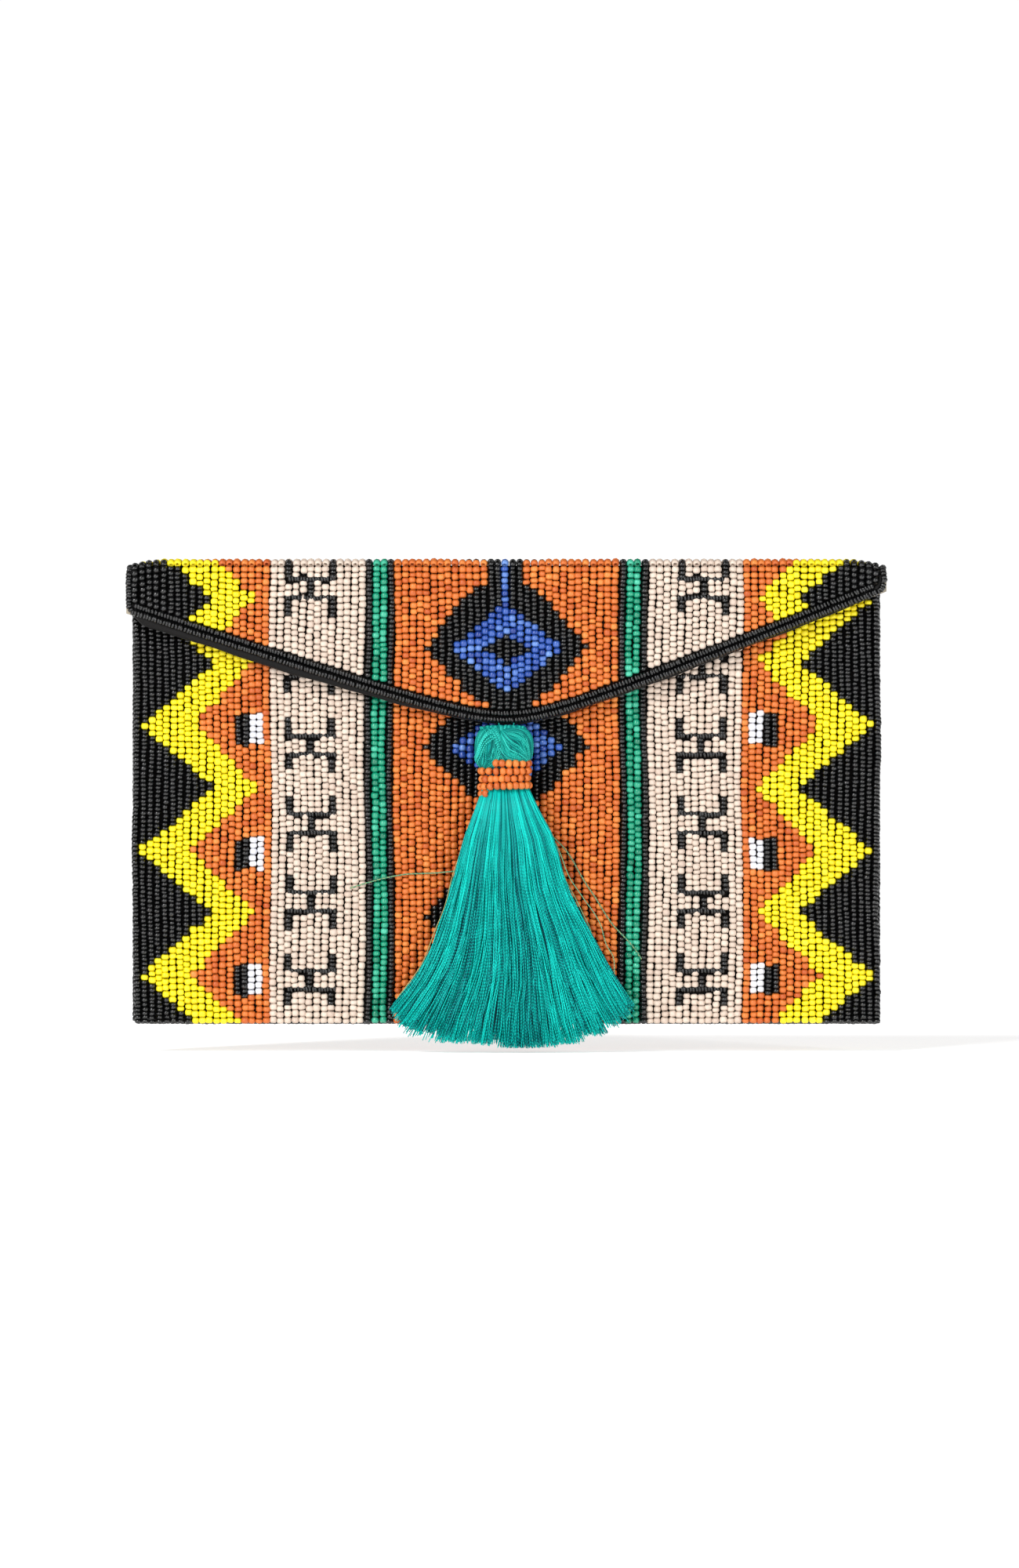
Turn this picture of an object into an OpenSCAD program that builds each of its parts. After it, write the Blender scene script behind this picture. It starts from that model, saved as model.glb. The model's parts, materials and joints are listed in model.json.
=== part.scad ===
// Beaded envelope clutch purse, standing upright with its front towards -Y.
// The origin is the middle of the flat back face: X runs across, Z up, and every layer lies towards -Y.
// Drawings of the faces are made in X and Z, and slab() gives them a depth.

/* [Purse] */
// Width across the front
purse_w = 254; // [240:1:270]
// Height from the bottom edge to the top fold
purse_h = 158; // [154:1:166]
// Clear depth inside, between the two linings
inside_gap = 6; // [5.5:0.5:9]
// How far the front panel's mouth stays below the top fold
mouth_drop = 7; // [6:0.5:10]
// Number of bead columns across the front
columns = 103; // [99:2:107]

/* [Layers] */
// Thickness of a layer of sewn beads
bead_t = 2.2; // [1.8:0.1:2.4]
// Thickness of the black base cloth
cloth_t = 0.6; // [0.5:0.1:0.7]
// Thickness of the stiffener board
stiff_t = 0.8; // [0.8:0.1:1]
// Thickness of the satin lining
lining_t = 0.4; // [0.3:0.1:0.5]
// Gap between the closed flap and the front beads
flap_gap = 1.5; // [1.4:0.1:2]

/* [Flap] */
// Height of the middle of the edge cord at the flap's tip
tip_z = 25.5; // [22:0.5:28]
// Radius that softens the flap's tip
tip_r = 18; // [12:1:24]
// Rise of the flap's edge towards the left, for each unit across
left_slope = 0.333; // [0.28:0.01:0.4]
// Rise of the flap's edge towards the right, for each unit across
right_slope = 0.4; // [0.28:0.01:0.42]
// Width of one strand of the edge cord
cord_w = 2.25; // [2:0.05:2.5]
// Width of the cloth binding that shows under the cord
binding_w = 1.05; // [0.8:0.05:1.1]

/* [Pattern] */
// Height of one tooth of the zigzag
tooth_h = 42.6; // [38:0.2:46]
// Distance between two diamonds on the front
diamond_step = 58; // [52:1:62]
// Distance between two hooked figures in a blush stripe
figure_step = 26.6; // [24:0.2:28]

/* [Snap] */
// Height of the magnetic snap
snap_z = 38; // [36:0.5:42]
// Outer radius of the snap's two caps
snap_r = 7; // [6:0.5:8]
// Radius of the stud's post
post_r = 2.2; // [1.8:0.1:2.4]
// Clearance round the post in the socket
post_clear = 0.4; // [0.3:0.05:0.5]

/* [Tassel] */
// Width of the beaded collar
collar_w = 18.6; // [16:0.2:20]
// Depth of the beaded collar
collar_d = 11; // [10:0.2:11]
// Number of bead rows in the collar
collar_rows = 5; // [4:1:5]
// How far the skirt hangs below the middle of the purse
skirt_drop = 85.8; // [80:0.2:90]
// Thickness of a loose thread
thread_d = 0.55; // [0.5:0.05:0.6]

/* [Hidden] */
$fn = 48;

BLACK = [0.08, 0.07, 0.07];
YELLOW = [0.97, 0.88, 0.1];
ORANGE = [0.83, 0.42, 0.18];
BLUSH = [0.9, 0.81, 0.73];
GREEN = [0.1, 0.55, 0.42];
BLUE = [0.25, 0.37, 0.75];
WHITE = [0.94, 0.94, 0.95];
CLOTH = [0.05, 0.05, 0.06];
BOARD = [0.72, 0.68, 0.6];
SATIN = [0.12, 0.11, 0.12];
NICKEL = [0.78, 0.77, 0.74];
TEAL = [0.05, 0.66, 0.57];

// The faces, from back to front. Each *_y is the side of a layer that is nearer the back.
panel_t = bead_t + cloth_t + stiff_t + lining_t;
back_cloth_y = -bead_t;
back_stiff_y = back_cloth_y - cloth_t;
back_lining_y = back_stiff_y - stiff_t;
front_lining_y = -panel_t - inside_gap;
front_stiff_y = front_lining_y - lining_t;
front_cloth_y = front_stiff_y - stiff_t;
front_beads_y = front_cloth_y - cloth_t;
front_y = front_beads_y - bead_t;
flap_lining_y = front_y - flap_gap;
flap_stiff_y = flap_lining_y - lining_t;
flap_cloth_y = flap_stiff_y - stiff_t;
flap_beads_y = flap_cloth_y - cloth_t;
flap_y = flap_beads_y - bead_t;

half_w = purse_w / 2;
col = purse_w / columns;
bottom_z = -purse_h / 2;
top_z = purse_h / 2;

// A fold turns about the middle of its cloth, and the panels stop fold_g short of that axis.
fold_d = bead_t + cloth_t / 2;
fold_g = panel_t - fold_d;
fold_z = top_z - fold_d;
panel_top_z = fold_z - fold_g;
back_fold_y = -fold_d;
front_fold_y = flap_y + fold_d;
mouth_z = top_z - mouth_drop;
hem_h = 1.2;
board_inset = 2.5;
edge_t = bead_t;
gusset_t = 1.1;

// The pattern, in columns from the middle and heights from the middle of the purse.
field_c = 15.5;
green_c = 16.5;
green_end_c = 18.5;
blush_c = 19.5;
blush_end_c = 32.5;
figure_c = 27;
black_tip_c = 50.5;
black_notch_c = 40.2;
yellow_tip_c = 43.2;
yellow_notch_c = 34.5;
tooth_z = 22.6;
flap_tooth_z = 43.7;
diamond_z = 15.1;
flap_diamond_z = 48.4;
figure_z = 42.5;
flap_figure_z = 69;
eye_h = 10.6;
eye_c = 33.5;
eye_mid_c = 35.5;
eye_end_c = 37.5;
far = 2 * purse_w;

socket_h = bead_t;
shell_t = 0.4;
cap_gap = 0.1;
post_hole_r = post_r + post_clear;
magnet_r = snap_r - 0.5;
washer_r = snap_r + 1;
washer_t = 0.4;
leg_x = 4.2;
leg_w = 0.5;
leg_h = 3;
slot_clear = 0.15;
bare_patch_r = snap_r + 0.4;

// The tassel hangs from a knot just below and in front of the flap's tip.
knot_r = 1;
knot_l = 3;
knot_y = flap_y - 0.1;
flap_tip_z = tip_z - cord_w - binding_w;
knot_z = flap_tip_z - knot_r - 0.35;
stitch_r = 0.35;
knot_bore_r = 0.6;
tassel_y = front_y - 0.6 - collar_d / 2;
left_lobe_r = 4.4;
right_lobe_r = 4.8;
lobe_top_z = knot_z - 1;
collar_row_h = 2.2;
collar_top_z = lobe_top_z - right_lobe_r - 4.7;
collar_bottom_z = collar_top_z - collar_rows * collar_row_h;
collar_wall = 2.2;
neck_r = collar_d / 2 - collar_wall - 0.05;
skirt_top_z = collar_bottom_z - 0.1;

// Loose threads: points along each one, from the skirt outwards, lying on the front beads.
lay_y = front_y - thread_d / 2 - 0.4;
left_route = [
    [-20.4, lay_y - 2.8, -27.2], [-21.8, lay_y - 2, -27.3], [-23.5, lay_y - 1.2, -27.5],
    [-25.5, lay_y - 0.5, -27.6], [-28, lay_y - 0.1, -27.7], [-30.5, lay_y, -27.8],
    [-33, lay_y, -27.9], [-35.5, lay_y, -28.2], [-38, lay_y, -28.6], [-40.5, lay_y, -29.1],
    [-43, lay_y, -29.7], [-45.5, lay_y, -30.4], [-48, lay_y, -31.1], [-50.5, lay_y, -31.9],
    [-53, lay_y, -32.7]];
right_route = [
    [17.6, lay_y - 2.8, -17], [19, lay_y - 2, -18.4], [20.6, lay_y - 1.2, -20.4],
    [22.3, lay_y - 0.5, -22.9], [24, lay_y - 0.1, -26], [25.8, lay_y, -29.2],
    [27.8, lay_y, -32.4], [30, lay_y, -35.6], [32, lay_y, -38.9], [34, lay_y, -42.1],
    [36.2, lay_y, -45.2], [38.8, lay_y, -48], [41.4, lay_y, -50.7], [43.8, lay_y, -53.6],
    [45.9, lay_y, -56.8]];

// ---- helpers ----

// A drawing in X and Z made into a layer that starts at depth y and runs towards -Y.
module slab(y, t) {
    translate([0, y, 0]) rotate([90, 0, 0]) linear_extrude(t) children();
}

// A drawing in Y and Z carried across the purse between two values of X.
module across(x0, x1) {
    translate([x0, 0, 0]) rotate([90, 0, 90]) linear_extrude(x1 - x0) children();
}

// A round bar along Y, from depth y towards -Y.
module stud_bar(r, y, l) {
    translate([0, y, snap_z]) rotate([90, 0, 0]) cylinder(r = r, h = l);
}

module box2d(x0, x1, z0, z1) {
    translate([x0, z0]) square([x1 - x0, z1 - z0]);
}

// The flap's edge is two straight rises joined by a rounded tip.
function rise(x) = x < 0 ? left_slope : right_slope;
function edge_z(x) = tip_z + rise(x) * (sqrt(x * x + tip_r * tip_r) - tip_r);
function edge_run(x) = rise(x) * x / sqrt(x * x + tip_r * tip_r);
function edge_point(x, out) =
    let (run = edge_run(x), n = sqrt(1 + run * run)) [x + run * out / n, edge_z(x) - out / n];

// Everything above the flap's edge moved out by a distance, between its two sides.
module flap2d(out, side) {
    reach = half_w + 12;
    intersection() {
        polygon(concat(
            [for (i = [-30:30]) edge_point(reach * i / 30, out)],
            [[reach, far], [-reach, far]]));
        box2d(-side, side, -far, panel_top_z);
    }
}

module flap_field2d() {
    flap2d(-cord_w, half_w - 0.2);
}

module body_face2d(face_top) {
    box2d(-half_w, half_w, bottom_z, face_top);
}

// A stiffener board, cut a little narrower than the cloth that goes round it.
module board2d(board_top) {
    box2d(board_inset - half_w, half_w - board_inset, bottom_z + board_inset, board_top);
}

// One face's outline: the back, the front with its bare patch under the snap, or the flap.
module face2d(face) {
    if (face == "back") body_face2d(panel_top_z);
    if (face == "front") difference() {
        body_face2d(mouth_z);
        translate([0, snap_z]) circle(bare_patch_r);
    }
    if (face == "flap") flap_field2d();
}

// ---- the bead pattern ----

// A drawing on the right, or its mirror image on the left.
module on_side(side) {
    if (side < 0) mirror([1, 0]) children();
    else children();
}

// Both stripes between two distances from the middle, in columns.
module stripes2d(c0, c1) {
    for (side = [-1, 1]) on_side(side) box2d(c0 * col, c1 * col, -far, far);
}

// Everything outside a zigzag line that runs between a tip and a notch, in columns.
module beyond2d(tip_c, notch_c, z0) {
    teeth = [for (k = [-5:5]) each [
        [tip_c * col, z0 + k * tooth_h],
        [notch_c * col, z0 + (k + 0.5) * tooth_h]]];
    for (side = [-1, 1]) on_side(side)
        polygon(concat(teeth, [[far, z0 + 5.5 * tooth_h], [far, z0 - 5 * tooth_h]]));
}

module eyes2d(c0, c1, z0) {
    for (k = [-2:0], side = [-1, 1]) on_side(side)
        box2d(c0 * col, c1 * col, z0 + k * tooth_h - eye_h / 2, z0 + k * tooth_h + eye_h / 2);
}

// A hooked figure: two brackets back to back on a short stem.
module figure2d() {
    box2d(-0.5 * col, 0.5 * col, -2.5, 2.5);
    for (turn = [0, 180]) rotate(turn) {
        box2d(-3.5 * col, 3.5 * col, 2, 4);
        for (side = [-1, 1]) on_side(side) box2d(2.5 * col, 3.5 * col, 3.9, 9.3);
    }
}

module figures2d(face) {
    heights = face == "flap" ? [flap_figure_z] : [for (k = [-1:4]) figure_z - k * figure_step];
    for (z = heights, side = [-1, 1]) translate([side * figure_c * col, z]) figure2d();
}

module diamond2d(half, up) {
    polygon([[-half, 0], [-half * 0.5, up * 0.75], [0, up], [half * 0.5, up * 0.75],
        [half, 0], [half * 0.5, -up * 0.62], [0, -up], [-half * 0.5, -up * 0.62]]);
}

module at_diamonds(face) {
    heights = face == "flap" ? [flap_diamond_z] : [diamond_z, diamond_z - diamond_step];
    for (z = heights) translate([0, z]) children();
    if (face == "back") translate([0, diamond_z + diamond_step]) children();
}

module black_diamonds2d(face) {
    at_diamonds(face) diamond2d(11.3 * col, 24);
    if (face == "flap") box2d(-2.5 * col, 2.5 * col, flap_diamond_z, far);
}

module blue_diamonds2d(face) {
    at_diamonds(face) difference() {
        polygon([[-7.8 * col, 0], [0, 15.3], [7.8 * col, 0], [0, -15.3]]);
        polygon([[-3.6 * col, 0], [0, 5], [3.6 * col, 0], [0, -5]]);
    }
    if (face == "flap") box2d(-0.5 * col, 0.5 * col, flap_diamond_z + 15, far);
}

function tooth_of(face) = face == "flap" ? flap_tooth_z : tooth_z;

module yellow2d(face) {
    difference() {
        beyond2d(yellow_tip_c, yellow_notch_c, tooth_of(face));
        beyond2d(black_tip_c, black_notch_c, tooth_of(face));
    }
}

module all_eyes2d(face) {
    if (face != "flap") eyes2d(eye_c, eye_end_c, tooth_z);
}

module orange2d(face) {
    difference() {
        union() {
            box2d(-field_c * col, field_c * col, -far, far);
            difference() {
                stripes2d(blush_end_c, columns);
                beyond2d(yellow_tip_c, yellow_notch_c, tooth_of(face));
            }
        }
        black_diamonds2d(face);
        blue_diamonds2d(face);
        all_eyes2d(face);
    }
}

module black2d(face) {
    difference() {
        black_diamonds2d(face);
        blue_diamonds2d(face);
    }
    stripes2d(field_c, green_c);
    stripes2d(green_end_c, blush_c);
    figures2d(face);
    beyond2d(black_tip_c, black_notch_c, tooth_of(face));
    if (face != "flap") eyes2d(eye_mid_c, eye_end_c, tooth_z);
}

module beads(face, y) {
    slab(y, bead_t) intersection() {
        face2d(face);
        children();
    }
}

module black_beads(face, y) {
    color(BLACK) beads(face, y) black2d(face);
}

module yellow_beads(face, y) {
    color(YELLOW) beads(face, y) yellow2d(face);
}

module orange_beads(face, y) {
    color(ORANGE) beads(face, y) orange2d(face);
}

module blush_beads(face, y) {
    color(BLUSH) beads(face, y) difference() {
        stripes2d(blush_c, blush_end_c);
        figures2d(face);
    }
}

module green_beads(face, y) {
    color(GREEN) beads(face, y) stripes2d(green_c, green_end_c);
}

module blue_beads(face, y) {
    color(BLUE) beads(face, y) blue_diamonds2d(face);
}

module white_beads(face, y) {
    color(WHITE) beads(face, y) eyes2d(eye_c, eye_mid_c, tooth_z);
}

// ---- back panel ----

module back_cloth() {
    color(CLOTH) slab(back_cloth_y, cloth_t) body_face2d(panel_top_z);
}

module back_stiffener() {
    color(BOARD) slab(back_stiff_y, stiff_t) board2d(panel_top_z);
}

module back_lining() {
    color(SATIN) slab(back_lining_y, lining_t) body_face2d(panel_top_z);
}

// A flat pocket sewn to the back lining, with a folded hem along its mouth.
module slip_pocket() {
    pocket_w = 0.6 * purse_w;
    pocket_top = 22;
    pocket_bottom = bottom_z + 22;
    color(SATIN) {
        slab(-panel_t, lining_t) box2d(-pocket_w / 2, pocket_w / 2, pocket_bottom, pocket_top);
        slab(-panel_t, 2 * lining_t) box2d(-pocket_w / 2, pocket_w / 2, pocket_top - 8, pocket_top);
    }
}

// ---- front panel ----

// Holes for the two legs of a snap half, or the legs themselves when grown by nothing.
module leg_slots2d(grow) {
    for (side = [-1, 1]) translate([side * leg_x, snap_z])
        square([leg_w + 2 * grow, leg_h + 2 * grow], center = true);
}

module front_cloth() {
    color(CLOTH) slab(front_cloth_y, cloth_t) difference() {
        body_face2d(mouth_z);
        leg_slots2d(slot_clear);
    }
}

module front_stiffener() {
    color(BOARD) difference() {
        slab(front_stiff_y, stiff_t) difference() {
            board2d(mouth_z);
            leg_slots2d(slot_clear);
        }
        stud_bar(washer_r + slot_clear, front_stiff_y + 1, 1 + washer_t);
    }
}

module front_lining() {
    color(SATIN) slab(front_lining_y, lining_t) body_face2d(mouth_z);
}

// A strip of cloth that closes the top edge of the front panel.
module front_hem() {
    color(CLOTH) slab(front_lining_y, panel_t) box2d(-half_w, half_w, mouth_z, mouth_z + hem_h);
}

// ---- bottom and sides ----

module bottom_strip(z0, t) {
    across(-half_w, half_w) box2d(front_lining_y, -panel_t, z0, z0 + t);
}

module bottom_beads() {
    color(BLACK) bottom_strip(bottom_z, bead_t);
}

module bottom_cloth() {
    color(CLOTH) bottom_strip(bottom_z + bead_t, cloth_t);
}

module bottom_lining() {
    color(SATIN) bottom_strip(bottom_z + bead_t + cloth_t, lining_t);
}

inside_bottom_z = bottom_z + bead_t + cloth_t + lining_t;

module side_strip(side, x0, t) {
    slab(-panel_t, inside_gap) on_side(side)
        box2d(x0, x0 + t, inside_bottom_z, mouth_z);
}

module edge_beads(side) {
    color(BLACK) side_strip(side, half_w - edge_t, edge_t);
}

module gusset(side) {
    color(SATIN) side_strip(side, half_w - edge_t - gusset_t, gusset_t);
}

// ---- magnetic snap ----

module snap_socket() {
    color(NICKEL) {
        difference() {
            stud_bar(snap_r, front_beads_y, socket_h);
            stud_bar(magnet_r, front_beads_y - shell_t, socket_h - 2 * shell_t);
            stud_bar(post_hole_r, front_beads_y + 1, socket_h + 2);
        }
        slab(front_stiff_y - 0.05, stiff_t + cloth_t - 0.05) leg_slots2d(0);
    }
}

module snap_magnet() {
    color(BLACK) difference() {
        stud_bar(magnet_r - 0.05, front_beads_y - shell_t, socket_h - 2 * shell_t);
        stud_bar(post_hole_r, front_beads_y + 1, socket_h + 2);
    }
}

module washer(y) {
    difference() {
        stud_bar(washer_r, y, washer_t);
        slab(y + 1, washer_t + 2) leg_slots2d(slot_clear);
    }
}

module socket_washer() {
    color(NICKEL) washer(front_stiff_y);
}

module snap_stud() {
    cap_y = front_y - cap_gap;
    post_l = socket_h - 0.5;
    color(NICKEL) {
        stud_bar(snap_r, cap_y, cap_y - flap_lining_y);
        stud_bar(post_r, cap_y + post_l, post_l + 0.1);
        slab(flap_lining_y, lining_t + stiff_t - 0.05) leg_slots2d(0);
    }
}

module stud_washer() {
    color(NICKEL) washer(flap_cloth_y + washer_t);
}

// ---- spine: the strip over the top of the purse ----

module spine_strip(z, t) {
    across(-half_w, half_w)
        box2d(front_fold_y + fold_g, back_fold_y - fold_g, z - t, z);
}

module spine_beads() {
    color(BLACK) spine_strip(top_z, bead_t);
}

module spine_cloth() {
    color(CLOTH) spine_strip(top_z - bead_t, cloth_t + stiff_t);
}

module spine_lining() {
    color(SATIN) spine_strip(panel_top_z + lining_t, lining_t);
}

// A fold's section about its own axis, with the outside of the bend towards +Y and +Z.
module fold_beads2d() {
    difference() {
        union() {
            intersection() {
                circle(fold_d);
                square(fold_d);
            }
            box2d(0, fold_d, -fold_g, 0);
            box2d(-fold_g, 0, 0, fold_d);
        }
        fold_cloth2d();
    }
}

module fold_cloth2d() {
    core_r = cloth_t / 2;
    intersection() {
        circle(core_r);
        square(core_r);
    }
    box2d(-fold_g, core_r, -fold_g, 0);
    box2d(-fold_g, 0, 0, core_r);
}

// Places a fold's section at the back fold, or mirrored at the front fold.
module at_fold(back) {
    across(-half_w, half_w) translate([back ? back_fold_y : front_fold_y, fold_z])
        on_side(back ? 1 : -1) children();
}

module back_fold_beads() {
    color(BLACK) at_fold(true) fold_beads2d();
}

module back_fold_cloth() {
    color(CLOTH) at_fold(true) fold_cloth2d();
}

module front_fold_beads() {
    color(BLACK) at_fold(false) fold_beads2d();
}

module front_fold_cloth() {
    color(CLOTH) at_fold(false) fold_cloth2d();
}

// ---- flap ----

module flap_panel2d() {
    flap2d(cord_w, half_w + 2);
}

module flap_cloth() {
    color(CLOTH) slab(flap_cloth_y, cloth_t) flap_panel2d();
}

module flap_stiffener() {
    color(BOARD) difference() {
        slab(flap_stiff_y, stiff_t) difference() {
            flap_panel2d();
            leg_slots2d(slot_clear);
        }
        stud_bar(washer_r + slot_clear, flap_cloth_y + washer_t, 1 + washer_t);
    }
}

module flap_lining() {
    color(SATIN) slab(flap_lining_y, lining_t) difference() {
        flap_panel2d();
        leg_slots2d(slot_clear);
    }
}

// Two strands of beads that follow the flap's edge, with a narrow groove between them.
module flap_edge_cord() {
    groove = 0.15;
    color(BLACK) {
        slab(flap_beads_y, bead_t) difference() {
            flap2d(-groove / 2, half_w + 0.9);
            flap_field2d();
        }
        slab(flap_beads_y, bead_t) difference() {
            flap2d(cord_w, half_w + 2);
            flap2d(groove / 2, half_w + 0.9 + groove);
        }
    }
}

// A folded strip of cloth that covers the raw edge of the flap.
module flap_binding() {
    color(CLOTH) slab(flap_lining_y, panel_t) difference() {
        flap2d(cord_w + binding_w, half_w + 2.8);
        flap_panel2d();
    }
}

// ---- tassel ----

module knot_bar(r, l) {
    translate([-l / 2, knot_y, knot_z]) rotate([0, 90, 0]) cylinder(r = r, h = l);
}

// A bar of thread through the knot, with a leg at each end up to the binding.
module tassel_stitch() {
    stitch_w = 5;
    color(TEAL) {
        knot_bar(stitch_r, stitch_w);
        for (side = [-1, 1]) {
            leg_top = edge_point(side * stitch_w / 2, cord_w + binding_w)[1];
            translate([side * stitch_w / 2, knot_y + stitch_r, knot_z - stitch_r])
                cylinder(r = stitch_r, h = leg_top - knot_z + stitch_r);
        }
    }
}

module tassel_loop() {
    color(TEAL) difference() {
        knot_bar(knot_r, knot_l);
        knot_bar(knot_bore_r, knot_l + 1);
    }
}

// A flat oval in X and Y, half_x by half_y, with round ends.
module oval2d(x0, x1, half_y) {
    for (x = [x0 + half_y, x1 - half_y]) translate([x, 0]) circle(half_y);
    box2d(x0 + half_y, x1 - half_y, -half_y, half_y);
}

module lobe(x, r) {
    translate([x, tassel_y, lobe_top_z - r]) sphere(r);
    translate([x, tassel_y, collar_top_z + 0.1])
        cylinder(r = r, h = lobe_top_z - r - collar_top_z - 0.1);
}

module collar_oval2d(r) {
    inset = collar_d / 2 - r;
    oval2d(-collar_w / 2 + inset, collar_w / 2 - inset, r);
}

module tassel_head() {
    color(TEAL) {
        lobe(-left_lobe_r - 0.6, left_lobe_r);
        lobe(right_lobe_r - 0.1, right_lobe_r);
        translate([0, tassel_y, collar_bottom_z])
            linear_extrude(collar_top_z - collar_bottom_z + 2) collar_oval2d(neck_r);
    }
}

module tassel_collar() {
    color(ORANGE) translate([0, tassel_y, collar_bottom_z])
        linear_extrude(collar_rows * collar_row_h) difference() {
            collar_oval2d(collar_d / 2);
            collar_oval2d(neck_r + 0.05);
        }
}

// The cut threads spread from the collar to a wide, slightly lopsided hem.
module tassel_skirt() {
    d = skirt_drop;
    // each slice is its height, its left and right ends and half its depth
    slices = [
        [skirt_top_z, -7, 7, 3.2],
        [-0.07 * d, -10.3, 10.6, 4.4],
        [-0.4 * d, -19.4, 20.8, 4.9],
        [-0.7 * d, -28.8, 34.2, 4.9],
        [-0.86 * d, -38.6, 41.4, 4.5],
        [-0.93 * d, -32, 32.4, 4.5],
        [-d, -8, 10, 4.2]];
    color(TEAL) translate([0, tassel_y, 0]) for (i = [0:len(slices) - 2]) hull()
        for (s = [slices[i], slices[i + 1]])
            translate([0, 0, s[0] - 0.01])
                linear_extrude(0.01) oval2d(s[1], s[2], s[3], $fn = 24);
}

// ---- loose threads ----

function unit(v) = v / norm(v);
function along(route, i) = unit(route[min(i + 1, len(route) - 1)] - route[max(i - 1, 0)]);

// A tube with eight sides swept along a route: each ring stands square to the route.
module thread(route) {
    sides = 8;
    rings = len(route);
    points = [for (i = [0:rings - 1], k = [0:sides - 1])
        let (
            run = along(route, i),
            u = unit(cross(run, [0, 1, 0])),
            v = cross(run, u),
            a = 360 * k / sides)
        route[i] + thread_d / 2 * (cos(a) * u + sin(a) * v)];
    walls = [for (i = [0:rings - 2], k = [0:sides - 1])
        let (a = i * sides + k, b = i * sides + (k + 1) % sides)
        [a, b, b + sides, a + sides]];
    caps = [
        [for (k = [0:sides - 1]) sides - 1 - k],
        [for (k = [0:sides - 1]) (rings - 1) * sides + k]];
    color(TEAL) polyhedron(points, concat(walls, caps));
}

black_beads("back", 0);  // back_beads_black
yellow_beads("back", 0);  // back_beads_yellow
orange_beads("back", 0);  // back_beads_orange
blush_beads("back", 0);  // back_beads_blush
green_beads("back", 0);  // back_beads_green
blue_beads("back", 0);  // back_beads_blue
white_beads("back", 0);  // back_beads_white
back_cloth();
back_stiffener();
back_lining();
slip_pocket();
black_beads("front", front_beads_y);  // front_beads_black
yellow_beads("front", front_beads_y);  // front_beads_yellow
orange_beads("front", front_beads_y);  // front_beads_orange
blush_beads("front", front_beads_y);  // front_beads_blush
green_beads("front", front_beads_y);  // front_beads_green
blue_beads("front", front_beads_y);  // front_beads_blue
white_beads("front", front_beads_y);  // front_beads_white
front_cloth();
front_stiffener();
front_lining();
front_hem();
bottom_beads();
bottom_cloth();
bottom_lining();
edge_beads(-1);  // left_edge_beads
edge_beads(1);  // right_edge_beads
gusset(-1);  // left_gusset
gusset(1);  // right_gusset
snap_socket();
snap_magnet();
socket_washer();
spine_beads();
spine_cloth();
spine_lining();
back_fold_beads();
back_fold_cloth();
front_fold_beads();
front_fold_cloth();
black_beads("flap", flap_beads_y);  // flap_beads_black
yellow_beads("flap", flap_beads_y);  // flap_beads_yellow
orange_beads("flap", flap_beads_y);  // flap_beads_orange
blush_beads("flap", flap_beads_y);  // flap_beads_blush
green_beads("flap", flap_beads_y);  // flap_beads_green
blue_beads("flap", flap_beads_y);  // flap_beads_blue
flap_cloth();
flap_stiffener();
flap_lining();
flap_edge_cord();
flap_binding();
snap_stud();
stud_washer();
tassel_stitch();
tassel_loop();
tassel_head();
tassel_collar();
tassel_skirt();
thread(left_route);  // stray_thread_left
thread(right_route);  // stray_thread_right
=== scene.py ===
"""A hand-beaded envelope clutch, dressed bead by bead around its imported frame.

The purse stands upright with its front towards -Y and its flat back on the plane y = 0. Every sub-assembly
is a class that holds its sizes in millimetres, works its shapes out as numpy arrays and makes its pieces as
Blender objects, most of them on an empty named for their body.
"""

import json
import logging
import math
from dataclasses import dataclass, field, fields
from enum import Enum, IntEnum
from typing import Callable, Iterable, Mapping, Sequence, Union

import bpy
import numpy as np
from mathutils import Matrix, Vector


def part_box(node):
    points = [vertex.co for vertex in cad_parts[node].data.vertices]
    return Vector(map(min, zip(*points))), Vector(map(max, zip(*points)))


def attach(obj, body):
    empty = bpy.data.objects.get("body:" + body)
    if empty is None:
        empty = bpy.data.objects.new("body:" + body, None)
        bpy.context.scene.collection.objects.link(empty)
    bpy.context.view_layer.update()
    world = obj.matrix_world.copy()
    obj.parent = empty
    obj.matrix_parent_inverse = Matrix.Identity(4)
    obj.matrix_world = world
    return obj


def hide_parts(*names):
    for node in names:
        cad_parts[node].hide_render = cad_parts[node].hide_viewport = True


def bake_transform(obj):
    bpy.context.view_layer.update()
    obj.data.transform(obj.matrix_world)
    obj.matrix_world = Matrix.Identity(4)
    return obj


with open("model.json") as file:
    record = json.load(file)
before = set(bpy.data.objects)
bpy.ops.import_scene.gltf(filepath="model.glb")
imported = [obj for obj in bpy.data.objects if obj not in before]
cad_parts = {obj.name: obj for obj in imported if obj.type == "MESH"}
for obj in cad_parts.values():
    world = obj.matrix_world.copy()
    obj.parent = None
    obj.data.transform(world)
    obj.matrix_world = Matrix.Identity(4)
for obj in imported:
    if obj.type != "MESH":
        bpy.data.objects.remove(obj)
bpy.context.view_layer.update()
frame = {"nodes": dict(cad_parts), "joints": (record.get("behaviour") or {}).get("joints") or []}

LOG = logging.getLogger("clutch")
MM = 0.001
Array = np.ndarray
Colour = tuple[int, int, int]
Point = tuple[float, float, float]


# ---------------------------------------------------------------- shader graph

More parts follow.
